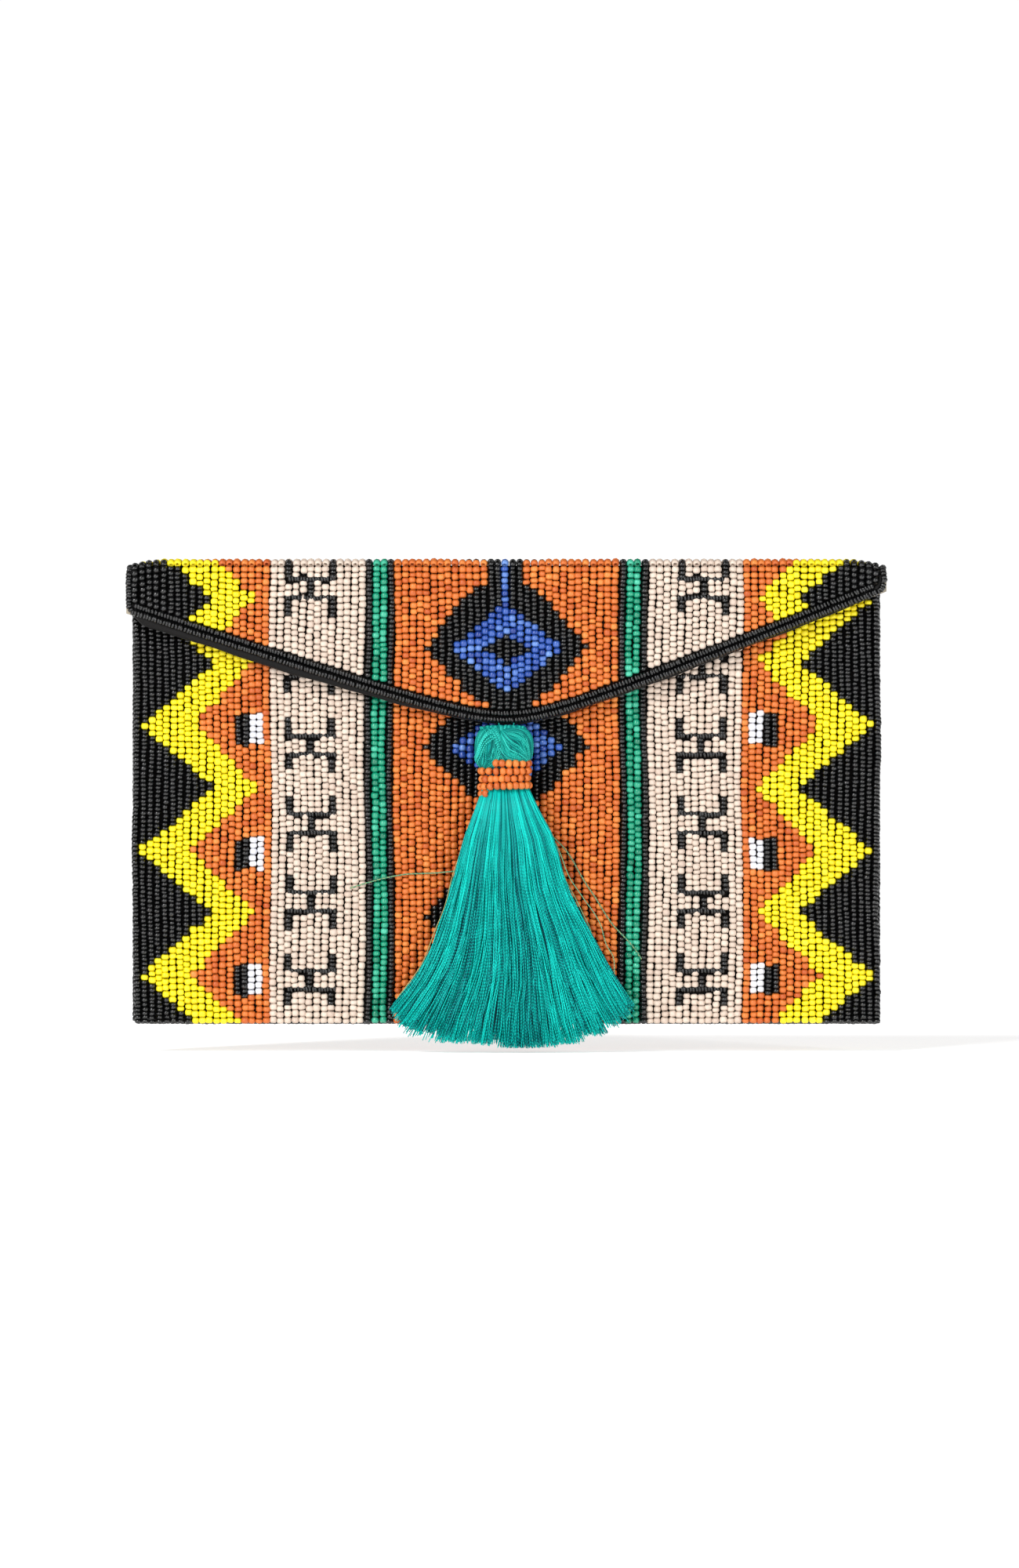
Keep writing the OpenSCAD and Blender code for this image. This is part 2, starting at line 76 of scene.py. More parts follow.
class Socket:
    """One output of a shader node. Arithmetic on it adds Math nodes, and numbers alone stay in Python."""

    def __init__(self, graph: "Graph", raw: bpy.types.NodeSocket) -> None:
        """Wraps a node's output.

        Args:
            graph: the graph that the node belongs to.
            raw: the output itself.
        """
        self.graph = graph
        self.raw = raw

    def output(self, name: str) -> "Socket":
        """Returns another output of the same node."""
        return Socket(self.graph, self.raw.node.outputs[name])

    def math(self, operation: str, *values: "Value") -> "Socket":
        """Returns the result of a Math node on these values, in their order."""
        return self.graph.add("ShaderNodeMath", {"operation": operation}, dict(enumerate(values)))

    def __add__(self, other: "Value") -> "Socket":
        """Returns self + other."""
        return self.math("ADD", self, other)

    def __radd__(self, other: "Value") -> "Socket":
        """Returns other + self."""
        return self.math("ADD", other, self)

    def __sub__(self, other: "Value") -> "Socket":
        """Returns self - other."""
        return self.math("SUBTRACT", self, other)

    def __mul__(self, other: "Value") -> "Socket":
        """Returns self * other."""
        return self.math("MULTIPLY", self, other)

    def __rmul__(self, other: "Value") -> "Socket":
        """Returns other * self."""
        return self.math("MULTIPLY", other, self)

    def sine(self) -> "Socket":
        """Returns the sine of this value, in radians."""
        return self.math("SINE", self)


Value = Union[Socket, float]


def linear(colour: Colour) -> tuple[float, float, float, float]:
    """Returns a colour of three 0 to 255 display values as linear light with full alpha."""
    parts = [c / 255 for c in colour]
    low_end = 0.04045
    light = [p / 12.92 if p <= low_end else ((p + 0.055) / 1.055) ** 2.4 for p in parts]
    return (light[0], light[1], light[2], 1.0)


class Graph:
    """A material's node tree. Every node in it comes from add()."""

    def __init__(self, name: str) -> None:
        """Starts an empty material of this name."""
        self.material = bpy.data.materials.new(name)
        self.material.use_nodes = True
        self.tree = self.material.node_tree
        self.tree.nodes.clear()

    def add(self, kind: str, settings: Mapping[str, object], inputs: Mapping[int | str, object]) -> Socket:
        """Adds one node.

        Args:
            kind: the node's type.
            settings: what is set on the node before its sockets; "stops" holds a ramp's places and colours.
            inputs: what goes to its sockets, as a Socket to link or a constant.

        Returns:
            The node's first output that is in use.
        """
        node = self.tree.nodes.new(kind)
        for key, setting in settings.items():
            if key == "stops":
                self._set_stops(node.color_ramp, setting)
            else:
                setattr(node, key, setting)
        for key, value in inputs.items():
            if isinstance(value, Socket):
                self.tree.links.new(value.raw, node.inputs[key])
            else:
                node.inputs[key].default_value = value
        return Socket(self, next((s for s in node.outputs if s.enabled), None))

    @staticmethod
    def _set_stops(ramp: bpy.types.ColorRamp, stops: Sequence[tuple[float, Colour]]) -> None:
        """Gives a ramp these places and colours."""
        for element, (place, _) in zip(ramp.elements, stops):
            element.position = place
        for place, _ in stops[len(ramp.elements):]:
            ramp.elements.new(place)
        for element, (_, colour) in zip(ramp.elements, stops):
            element.color = linear(colour)

    def place(self) -> Socket:
        """Returns the point's own Object coordinates."""
        return self.add("ShaderNodeTexCoord", {}, {}).output("Object")

    def attribute(self, name: str) -> Socket:
        """Returns a value that the mesh holds for each point."""
        return self.add("ShaderNodeAttribute", {"attribute_name": name}, {}).output("Fac")

    def ramp(self, value: Socket, *stops: tuple[float, Colour]) -> Socket:
        """Returns a colour that runs through these stops as the value goes from 0 to 1."""
        return self.add("ShaderNodeValToRGB", {"stops": stops}, {0: value})

    def noise(self, scale: float, detail: float = 2.0, stretch: Point = (1, 1, 1)) -> Socket:
        """Returns a soft noise from 0 to 1 over Object coordinates, with this many lumps to a metre."""
        spread = self.add("ShaderNodeMapping", {}, {"Vector": self.place(), "Scale": stretch})
        inputs = {"Vector": spread, "Scale": scale, "Detail": detail}
        return self.add("ShaderNodeTexNoise", {}, inputs).output("Fac")

    def mix(self, factor: Value, a: object, b: object, blend: str = "MIX") -> Socket:
        """Returns colour a mixed with colour b by a factor."""
        return self.add("ShaderNodeMix", {"data_type": "RGBA", "blend_type": blend}, {0: factor, 6: a, 7: b})

    def bump(self, height: Socket, strength: float, distance: float) -> Socket:
        """Returns a normal that a height field tilts; distance is the height's range in metres."""
        return self.add("ShaderNodeBump", {}, {"Height": height, "Strength": strength, "Distance": distance})

    def surface(self, constants: Mapping[str, object], varying: Mapping[str, Socket]) -> bpy.types.Material:
        """Ends the graph in a Principled surface.

        Args:
            constants: what is the same all over, set on the shader's own sockets.
            varying: the sockets that change over the surface.

        Returns:
            The finished material.
        """
        shader = self.add("ShaderNodeBsdfPrincipled", {}, {**constants, **varying})
        self.add("ShaderNodeOutputMaterial", {}, {"Surface": shader})
        return self.material


# ---------------------------------------------------------------- finishes

@dataclass(frozen=True)
class Glass:
    """Opaque glass of seed beads: each bead's own shade lies between a dark and a light one."""

    name: str
    dark: Colour
    middle: Colour
    light: Colour
    roughness: float
    coat: float
    speck_scale: float = 1500

    def material(self) -> bpy.types.Material:
        """Returns the finish: a ramp over each bead's shade, faint specks, and a slightly uneven glaze."""
        graph = Graph(self.name)
        stops = ((0.0, self.dark), (0.5, self.middle), (1.0, self.light))
        shade = graph.ramp(graph.attribute("shade"), *stops)
        speck = graph.noise(self.speck_scale)
        colour = graph.mix(speck * 0.3, shade, linear(self.dark))
        bump = graph.bump(speck, 0.25, 0.06 * MM)
        constants = {"Coat Weight": self.coat, "Coat Roughness": 0.12, "IOR": 1.5}
        rough = self.roughness - 0.08 + speck * 0.16
        return graph.surface(constants, {"Base Color": colour, "Roughness": rough, "Normal": bump})


@dataclass(frozen=True)
class Weave:
    """Plain woven cloth: threads cross over and under on a small square pitch."""

    name: str
    ground: Colour
    raised: Colour
    pitch: float
    roughness: float
    sheen: float

    def material(self) -> bpy.types.Material:
        """Returns the finish: height = sin(2 pi x / pitch) sin(2 pi (y + z) / pitch), for any flat side."""
        graph = Graph(self.name)
        split = graph.add("ShaderNodeSeparateXYZ", {}, {"Vector": graph.place()})
        turns = 2 * math.pi / (self.pitch * MM)
        weave = (split * turns).sine() * ((split.output("Y") + split.output("Z")) * turns).sine()
        height = 0.5 + 0.5 * weave
        fuzz = graph.noise(700, 3.0)
        colour = graph.mix(height * 0.6 + fuzz * 0.4, linear(self.ground), linear(self.raised))
        bump = graph.bump(height + fuzz * 0.4, 0.5, 0.08 * MM)
        constants = {"Sheen Weight": self.sheen, "Sheen Roughness": 0.4, "Specular IOR Level": 0.2}
        rough = self.roughness + fuzz * 0.15
        return graph.surface(constants, {"Base Color": colour, "Roughness": rough, "Normal": bump})


@dataclass(frozen=True)
class Satin:
    """Satin lining: a fine diagonal twill with a soft gloss that changes from fold to fold, in roughness and as
    painted sheen in the colour.
    """

    name: str
    ground: Colour
    raised: Colour
    pitch: float

    def material(self) -> bpy.types.Material:
        """Returns the finish: height = sin(2 pi (x + y + z) / pitch), over slow changes of gloss and of painted
        sheen.
        """
        graph = Graph(self.name)
        split = graph.add("ShaderNodeSeparateXYZ", {}, {"Vector": graph.place()})
        turns = 2 * math.pi / (self.pitch * MM)
        twill = ((split + split.output("Y") + split.output("Z")) * turns).sine()
        height = 0.5 + 0.5 * twill
        drift = graph.noise(60, 3.0)
        # The slow drift lightens the colour towards the raised tone: painted sheen, besides the real change of
        # roughness below.
        colour = graph.mix(height * 0.35 + drift * 0.5, linear(self.ground), linear(self.raised))
        bump = graph.bump(height * 0.3 + drift, 0.35, 0.1 * MM)
        rough = 0.26 + drift * 0.22
        constants = {"Sheen Weight": 0.25, "Sheen Roughness": 0.3}
        return graph.surface(constants, {"Base Color": colour, "Roughness": rough, "Normal": bump})


@dataclass(frozen=True)
class Silk:
    """Shiny plied thread: each strand has its own shade, and its twist shows as a fine beat along it, in relief
    and as painted highlight and shade in the colour.
    """

    name: str
    dark: Colour
    middle: Colour
    light: Colour
    twist: float
    beat: float
    roughness: float = 0.42

    def material(self) -> bpy.types.Material:
        """Returns the finish: a ramp over shade + beat sin(2 pi s / twist + 40 shade), with s the length; the
        beat in the colour is painted highlight and shade of the twist.
        """
        graph = Graph(self.name)
        shade = graph.attribute("shade")
        turns = 2 * math.pi / (self.twist * MM)
        along = graph.attribute("along")
        beat = (along * turns + shade * 40).sine() * along.math("MINIMUM", along * 20, 1.0)
        drift = graph.noise(260, 3.0)
        # The twist's beat lightens and darkens the colour: painted highlight and shade along the plies.
        level = shade + beat * self.beat + (drift - 0.5) * 0.25
        colour = graph.ramp(level, (0.0, self.dark), (0.5, self.middle), (1.0, self.light))
        bump = graph.bump(beat, 0.4, 0.05 * MM)
        rough = self.roughness + drift * 0.12
        constants = {"Specular IOR Level": 0.14, "Anisotropic": 0.4}
        return graph.surface(constants, {"Base Color": colour, "Roughness": rough, "Normal": bump})


@dataclass(frozen=True)
class Metal:
    """Plated or sintered metal with fine marks in one direction."""

    name: str
    dark: Colour
    light: Colour
    metallic: float
    roughness: float
    stretch: Point = (1, 1, 9)

    def material(self) -> bpy.types.Material:
        """Returns the finish: a stretched noise that changes colour, gloss and height together."""
        graph = Graph(self.name)
        marks = graph.noise(900, 4.0, self.stretch)
        cloud = graph.noise(180, 2.0)
        colour = graph.mix(marks * 0.5 + cloud * 0.5, linear(self.dark), linear(self.light))
        bump = graph.bump(marks, 0.2, 0.03 * MM)
        rough = self.roughness + marks * 0.18
        varying = {"Base Color": colour, "Roughness": rough, "Normal": bump}
        return graph.surface({"Metallic": self.metallic}, varying)


class Tone(IntEnum):
    """The colours of bead, and no bead at all."""

    NONE = 0
    BLACK = 1
    YELLOW = 2
    ORANGE = 3
    BLUSH = 4
    GREEN = 5
    BLUE = 6
    WHITE = 7

    @property
    def slot(self) -> str:
        """The record's material slot for beads of this tone."""
        return f"bead_{self.name.lower()}"


BEAD_GLASS = {
    Tone.BLACK: Glass("glass_black", (4, 4, 5), (9, 9, 10), (20, 19, 21), 0.2, 0.3),
    Tone.YELLOW: Glass("glass_yellow", (222, 200, 8), (236, 220, 18), (244, 230, 46), 0.46, 0.0),
    Tone.ORANGE: Glass("glass_orange", (180, 80, 24), (206, 109, 41), (227, 137, 59), 0.46, 0.0),
    Tone.BLUSH: Glass("glass_blush", (198, 178, 163), (209, 192, 177), (220, 204, 189), 0.52, 0.0),
    Tone.GREEN: Glass("glass_green", (6, 110, 82), (20, 150, 114), (70, 190, 156), 0.26, 0.2),
    Tone.BLUE: Glass("glass_blue", (20, 46, 122), (44, 84, 168), (104, 144, 212), 0.26, 0.2),
    Tone.WHITE: Glass("glass_white", (208, 210, 218), (226, 226, 230), (238, 238, 242), 0.36, 0.05),
}
BASE_CLOTH = Weave("base_cloth", (7, 5, 5), (22, 17, 16), 0.55, 0.75, 0.05)
BINDING_CLOTH = Weave("binding_cloth", (5, 4, 4), (16, 14, 14), 0.4, 0.6, 0.06)
LINING_SATIN = Satin("lining_satin", (16, 15, 18), (44, 42, 48), 0.45)
TASSEL_SILK = Silk("tassel_silk", (0, 72, 86), (0, 166, 158), (12, 216, 204), 1.1, 0.24)
HEAD_SILK = Silk("head_silk", (0, 88, 90), (4, 148, 136), (58, 206, 190), 0.8, 0.6)
# A dark teal for the tassel's hidden insides: painted shade between its strands and beads.
SHADE_PAINTED_SILK = Silk("core_silk", (0, 58, 70), (0, 80, 88), (0, 104, 108), 1.0, 0.1)
LOOSE_SILK = Silk("loose_silk", (22, 96, 84), (84, 150, 118), (176, 168, 112), 0.9, 0.3)
SEAM_SILK = Silk("seam_silk", (10, 10, 11), (30, 29, 32), (62, 60, 64), 0.6, 0.2)
NICKEL = Metal("nickel", (150, 146, 138), (206, 203, 196), 1.0, 0.16)
FERRITE = Metal("ferrite", (28, 28, 30), (62, 61, 62), 0.4, 0.5, (1, 1, 1))
GREYBOARD = Metal("greyboard", (138, 128, 112), (186, 176, 156), 0.0, 0.75, (1, 1, 1))


class Wardrobe:
    """Makes each finish's material once and hands it out again."""

    def __init__(self) -> None:
        """Starts with no material made."""
        self._made: dict[str, bpy.types.Material] = {}

    def get(self, finish: object) -> bpy.types.Material:
        """Returns the material of a finish."""
        if finish.name not in self._made:
            self._made[finish.name] = finish.material()
        return self._made[finish.name]


WARDROBE = Wardrobe()


# ---------------------------------------------------------------- shapes

def unit(vectors: Array) -> Array:
    """Returns vectors divided by their own lengths, along the last axis."""
    return vectors / np.maximum(np.linalg.norm(vectors, axis=-1, keepdims=True), 1e-12)


def smooth_step(value: Array) -> Array:
    """Returns t * t * (3 - 2 t) of the value held between 0 and 1."""
    t = np.clip(value, 0, 1)
    return t * t * (3 - 2 * t)


@dataclass
class Shape:
    """Points in millimetres, faces as arrays of point numbers, and values that the points hold."""

    points: Array
    faces: list[Array]
    values: dict[str, Array] = field(default_factory=dict)

    def outward(self) -> "Shape":
        """Returns a closed shape with its faces outwards, so that its volume, a sum of cones, is positive."""
        centre = self.points.mean(0)
        volume = 0.0
        for faces in self.faces:
            corners = self.points[faces] - centre
            for k in range(1, faces.shape[1] - 1):
                cross = np.cross(corners[:, k], corners[:, k + 1])
                volume += float(np.einsum("ij,ij->i", corners[:, 0], cross).sum())
        if volume < 0:
            self.faces = [faces[:, ::-1] for faces in self.faces]
        return self

    def piece(self, name: str, finish: object, body: str, slot: str,
              replaces: Sequence[str] = ()) -> bpy.types.Object:
        """Makes the shape a Blender object that rides on a body.

        Args:
            name: the piece's name.
            finish: the finish of its one material.
            body: the CAD body that carries it; empty for a piece that rides on none.
            slot: not used.
            replaces: the CAD nodes that it stands for.

        Returns:
            The new object.
        """
        name = f"{name}_sewn" if name in frame["nodes"] else name
        mesh = bpy.data.meshes.new(name)
        mesh.vertices.add(len(self.points))
        mesh.vertices.foreach_set("co", (self.points * MM).astype(np.float32).ravel())
        sizes = np.concatenate([np.full(len(f), f.shape[1]) for f in self.faces])
        mesh.loops.add(int(sizes.sum()))
        corners = np.concatenate([f.ravel() for f in self.faces])
        mesh.loops.foreach_set("vertex_index", corners.astype(np.int32))
        mesh.polygons.add(len(sizes))
        starts = np.concatenate([[0], np.cumsum(sizes)[:-1]])
        mesh.polygons.foreach_set("loop_start", starts.astype(np.int32))
        mesh.polygons.foreach_set("use_smooth", np.ones(len(sizes), bool))
        mesh.update(calc_edges=True)
        for key, value in self.values.items():
            held = mesh.attributes.new(key, "FLOAT", "POINT")
            held.data.foreach_set("value", value.astype(np.float32).ravel())
        mesh.materials.append(WARDROBE.get(finish))
        made = bpy.data.objects.new(name, mesh)
        bpy.context.scene.collection.objects.link(made)
        if body:
            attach(made, body)
        if replaces:
            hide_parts(*replaces)
        LOG.info("%s: %d points, %d faces", name, len(self.points), len(sizes))
        return made


def join(shapes: Iterable[Shape]) -> Shape:
    """Returns several shapes as one, each with its own points."""
    shapes = list(shapes)
    starts = np.cumsum([0] + [len(s.points) for s in shapes])
    faces = [f + start for s, start in zip(shapes, starts) for f in s.faces]
    values = {key: np.concatenate([s.values[key] for s in shapes]) for key in shapes[0].values}
    return Shape(np.concatenate([s.points for s in shapes]), faces, values)


def grid(points: Array) -> Shape:
    """Returns an open sheet through a grid of points, rows by columns by 3: each cell is one face."""
    rows, cols = points.shape[:2]
    index = np.arange(rows * cols).reshape(rows, cols)
    faces = np.stack([index[:-1, :-1], index[:-1, 1:], index[1:, 1:], index[1:, :-1]], -1).reshape(-1, 4)
    return Shape(points.reshape(-1, 3), [faces])


def loft(rings: Array, round_trip: bool = False) -> Shape:
    """Returns a closed skin over rings of points, rings by sides by 3, joined in order with capped ends.

    Args:
        rings: the points, ring after ring.
        round_trip: joins the last ring to the first one in place of the caps.

    Returns:
        The shape, with its faces outwards.
    """
    count, sides = rings.shape[:2]
    index = np.arange(count * sides).reshape(count, sides)
    turned = np.roll(index, -1, axis=1)
    if round_trip:
        index, turned = np.vstack([index, index[:1]]), np.vstack([turned, turned[:1]])
    walls = np.stack([index[:-1], turned[:-1], turned[1:], index[1:]], -1).reshape(-1, 4)
    faces = [walls] if round_trip else [walls, index[:1, ::-1], index[-1:]]
    return Shape(rings.reshape(-1, 3), faces).outward()


def swept(section: Array, stations: Array) -> Shape:
    """Returns a bar along X: a closed section of (y, z) points stands at each station x."""
    across = np.broadcast_to(stations[:, None], (len(stations), len(section)))
    along = np.broadcast_to(section[None], (len(stations), *section.shape))
    return loft(np.concatenate([across[..., None], along], -1))


def tubes(paths: Array, radius: Array, sides: int, shade: Array, facing: Point = (0, 1, 0)) -> Shape:
    """Returns round threads along paths, paths by steps by 3.

    A ring stands square to each step: point = path + radius (cos a * u + sin a * v), where u is the direction
    of travel crossed with facing and v is the direction crossed with u.

    Args:
        paths: the centre lines.
        radius: the threads' radii, broadcast over paths by steps.
        sides: how many points a ring has.
        shade: each thread's own shade, from 0 to 1.
        facing: a direction that no path runs along.

    Returns:
        One shape of closed threads, whose points hold shade and the length along the thread in metres.
    """
    count, steps = paths.shape[:2]
    run = unit(np.gradient(paths, axis=1))
    u = unit(np.cross(run, np.array(facing, float)))
    v = np.cross(run, u)
    angle = 2 * np.pi * np.arange(sides) / sides
    ring = np.cos(angle)[:, None] * u[:, :, None] + np.sin(angle)[:, None] * v[:, :, None]
    wide = np.broadcast_to(radius, (count, steps))[..., None, None]
    points = paths[:, :, None] + wide * ring
    index = np.arange(count * steps * sides).reshape(count, steps, sides)
    turned = np.roll(index, -1, axis=2)
    walls = np.stack([index[:, :-1], turned[:, :-1], turned[:, 1:], index[:, 1:]], -1).reshape(-1, 4)
    hop = np.linalg.norm(np.diff(paths, axis=1), axis=2)
    along = np.concatenate([np.zeros((count, 1)), np.cumsum(hop, axis=1)], 1) * MM
    values = {
        "shade": np.broadcast_to(shade[:, None, None], index.shape).ravel(),
        "along": np.broadcast_to(along[:, :, None], index.shape).ravel(),
    }
    return Shape(points.reshape(-1, 3), [walls, index[:, 0, ::-1], index[:, -1]], values)


def even(path: Array, step: float) -> Array:
    """Returns points a step apart along a line of points, by straight interpolation over its length."""
    length = np.concatenate([[0], np.cumsum(np.linalg.norm(np.diff(path, axis=0), axis=1))])
    places = np.arange(0, length[-1], step)
    return np.stack([np.interp(places, length, path[:, k]) for k in range(path.shape[1])], -1)


def curve(points: Sequence[Sequence[float]], count: int) -> Array:
    """Returns a smooth line through given points: a Catmull-Rom spline with equal knots.

    Args:
        points: the points that the line passes through.
        count: how many points it gets.

    Returns:
        The line's points.
    """
    known = np.array(points, float)
    padded = np.vstack([2 * known[0] - known[1], known, 2 * known[-1] - known[-2]])
    place = np.linspace(0, len(known) - 1, count)
    part = np.minimum(place.astype(int), len(known) - 2)
    t = (place - part)[:, None]
    a, b, c, d = (padded[part + k] for k in range(4))
    return 0.5 * (2 * b + (c - a) * t + (2 * a - 5 * b + 4 * c - d) * t**2 + (3 * b - a - 3 * c + d) * t**3)


# ---------------------------------------------------------------- beads

@dataclass
class Beads:
    """Strung beads: centres, thread directions and outward directions as rows, with lengths and radii."""

    centre: Array
    thread: Array
    facing: Array
    length: Array
    radius: Array

    @classmethod
    def joined(cls, parts: Sequence["Beads"]) -> "Beads":
        """Returns the beads of several parts in one."""
        return cls(*(np.concatenate([getattr(part, f.name) for part in parts]) for f in fields(cls)))

    def where(self, mask: Array) -> "Beads":
        """Returns only the beads of a mask."""
        return Beads(*(getattr(self, f.name)[mask] for f in fields(Beads)))

    def shape(self, profile: Array, seed: int, wobble: float = 0.1, sides: int = 8) -> Shape:
        """Returns every bead as a ring of glass with its hole along the thread.

        A bead is a closed profile turned about its thread: point = centre + thread * t * length / 2
        + (cos a * across + sin a * out) * r * radius, for each (r, t) of the profile.

        Args:
            profile: rows of (r, t) from the hole over the wall and back.
            seed: the seed for each bead's tilt, turn and shade.
            wobble: the spread of a bead's tilt.
            sides: how many points a ring has.

        Returns:
            The shape, whose points hold each bead's shade.
        """
        rng = np.random.default_rng(seed)
        count = len(self.centre)
        thread = unit(self.thread + wobble * rng.standard_normal((count, 3)))
        across = unit(np.cross(thread, self.facing))
        out = np.cross(across, thread)
        angle = 2 * np.pi * (np.arange(sides) + rng.random((count, 1))) / sides
        ring = np.cos(angle)[..., None] * across[:, None] + np.sin(angle)[..., None] * out[:, None]
        up = profile[:, 1][:, None] * (thread * self.length[:, None] / 2)[:, None]
        wide = profile[:, 0] * self.radius[:, None]
        points = self.centre[:, None, None] + up[:, :, None] + wide[:, :, None, None] * ring[:, None]
        index = np.arange(count * len(profile) * sides).reshape(count, len(profile), sides)
        turned = np.roll(index, -1, axis=2)
        below, below_turned = np.roll(index, -1, axis=1), np.roll(turned, -1, axis=1)
        faces = np.stack([index, turned, below_turned, below], -1).reshape(-1, 4)
        shade = np.clip(0.5 + 0.23 * rng.standard_normal(count), 0, 1)
        values = {"shade": np.broadcast_to(shade[:, None, None], index.shape).ravel()}
        return Shape(points.reshape(-1, 3), [faces], values)


FULL_BEAD = np.array([(0.36, 0.0), (0.68, 1.0), (1.0, 0.42), (1.0, -0.42), (0.68, -1.0)])
BALL_BEAD = np.array([(0.1, 0.75), (0.6, 1.0), (1.0, 0.4), (1.0, -0.4), (0.6, -1.0), (0.1, -0.75)])
SMALL_BEAD = np.array([(0.34, 0.0), (0.86, 1.0), (1.0, 0.0), (0.86, -1.0)])


def string(path: Array, facing: Array, pitch: float, fill: float, radius: float, seed: int) -> Beads:
    """Strings beads along a line.

    Args:
        path: the line's points.
        facing: the outward direction, one or for each point of the path.
        pitch: the distance between two beads.
        fill: a bead's length as a share of the pitch.
        radius: a bead's radius.
        seed: the seed for the spread of sizes.

    Returns:
        The beads.
    """
    rng = np.random.default_rng(seed)
    full = np.broadcast_to(facing, path.shape)
    spaced = even(np.hstack([path, full]), 0.25)
    hop = np.linalg.norm(np.diff(spaced[:, :3], axis=0), axis=1)
    length = np.concatenate([[0], np.cumsum(hop)])
    steps = pitch * (1 + 0.1 * rng.standard_normal(int(length[-1] / pitch)))
    place = np.cumsum(steps) - pitch / 2
    place = place[place < length[-1] - pitch / 4]
    centre = np.stack([np.interp(place, length, spaced[:, k]) for k in range(3)], -1)
    face = np.stack([np.interp(place, length, spaced[:, k]) for k in range(3, 6)], -1)
    ahead = np.stack([np.interp(place + 0.5, length, spaced[:, k]) for k in range(3)], -1)
    behind = np.stack([np.interp(place - 0.5, length, spaced[:, k]) for k in range(3)], -1)
    count = len(place)
    centre = centre + 0.04 * rng.standard_normal((count, 3))
    size = radius * (1 + 0.035 * rng.standard_normal(count))
    long = pitch * fill * (1 + 0.06 * rng.standard_normal(count))
    return Beads(centre, unit(ahead - behind), unit(face), long, size)


# ---------------------------------------------------------------- measures and pattern

@dataclass(frozen=True)
class Measures:
    """The purse's main planes in millimetres, read from the frame."""

    half_w: float
    bottom: float
    top: float
    panel_top: float
    mouth: float
    bead: float
    cloth: float
    front_y: float
    flap_y: float
    back_axis: tuple[float, float]
    front_axis: tuple[float, float]
    knot: tuple[float, float, float]

    @classmethod
    def read(cls) -> "Measures":
        """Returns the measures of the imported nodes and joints."""
        low, high = box("back_cloth")
        front_low, front_high = box("front_beads_black")
        flap_low, _ = box("flap_beads_black")
        _, spine_high = box("spine_beads")
        cloth_low, cloth_high = box("front_cloth")
        joints = {j["name"]: np.array(j["pos_m"]) / MM for j in frame["joints"]}
        back, front = joints["flap_back_fold"], joints["flap_front_fold"]
        return cls(
            half_w=high[0], bottom=low[2], top=spine_high[2], panel_top=high[2], mouth=cloth_high[2],
            bead=front_high[1] - front_low[1], cloth=cloth_high[1] - cloth_low[1],
            front_y=front_low[1], flap_y=flap_low[1],
            back_axis=(back[1], back[2]), front_axis=(front[1], front[2]), knot=tuple(joints["tassel_lift"]))


def box(node: str) -> tuple[Array, Array]:
    """Returns a node's lowest and highest corners in millimetres."""
    low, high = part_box(node)
    return np.array(low) / MM, np.array(high) / MM


class Face(Enum):
    """The three beaded faces."""

    BACK = "back"
    FRONT = "front"
    FLAP = "flap"


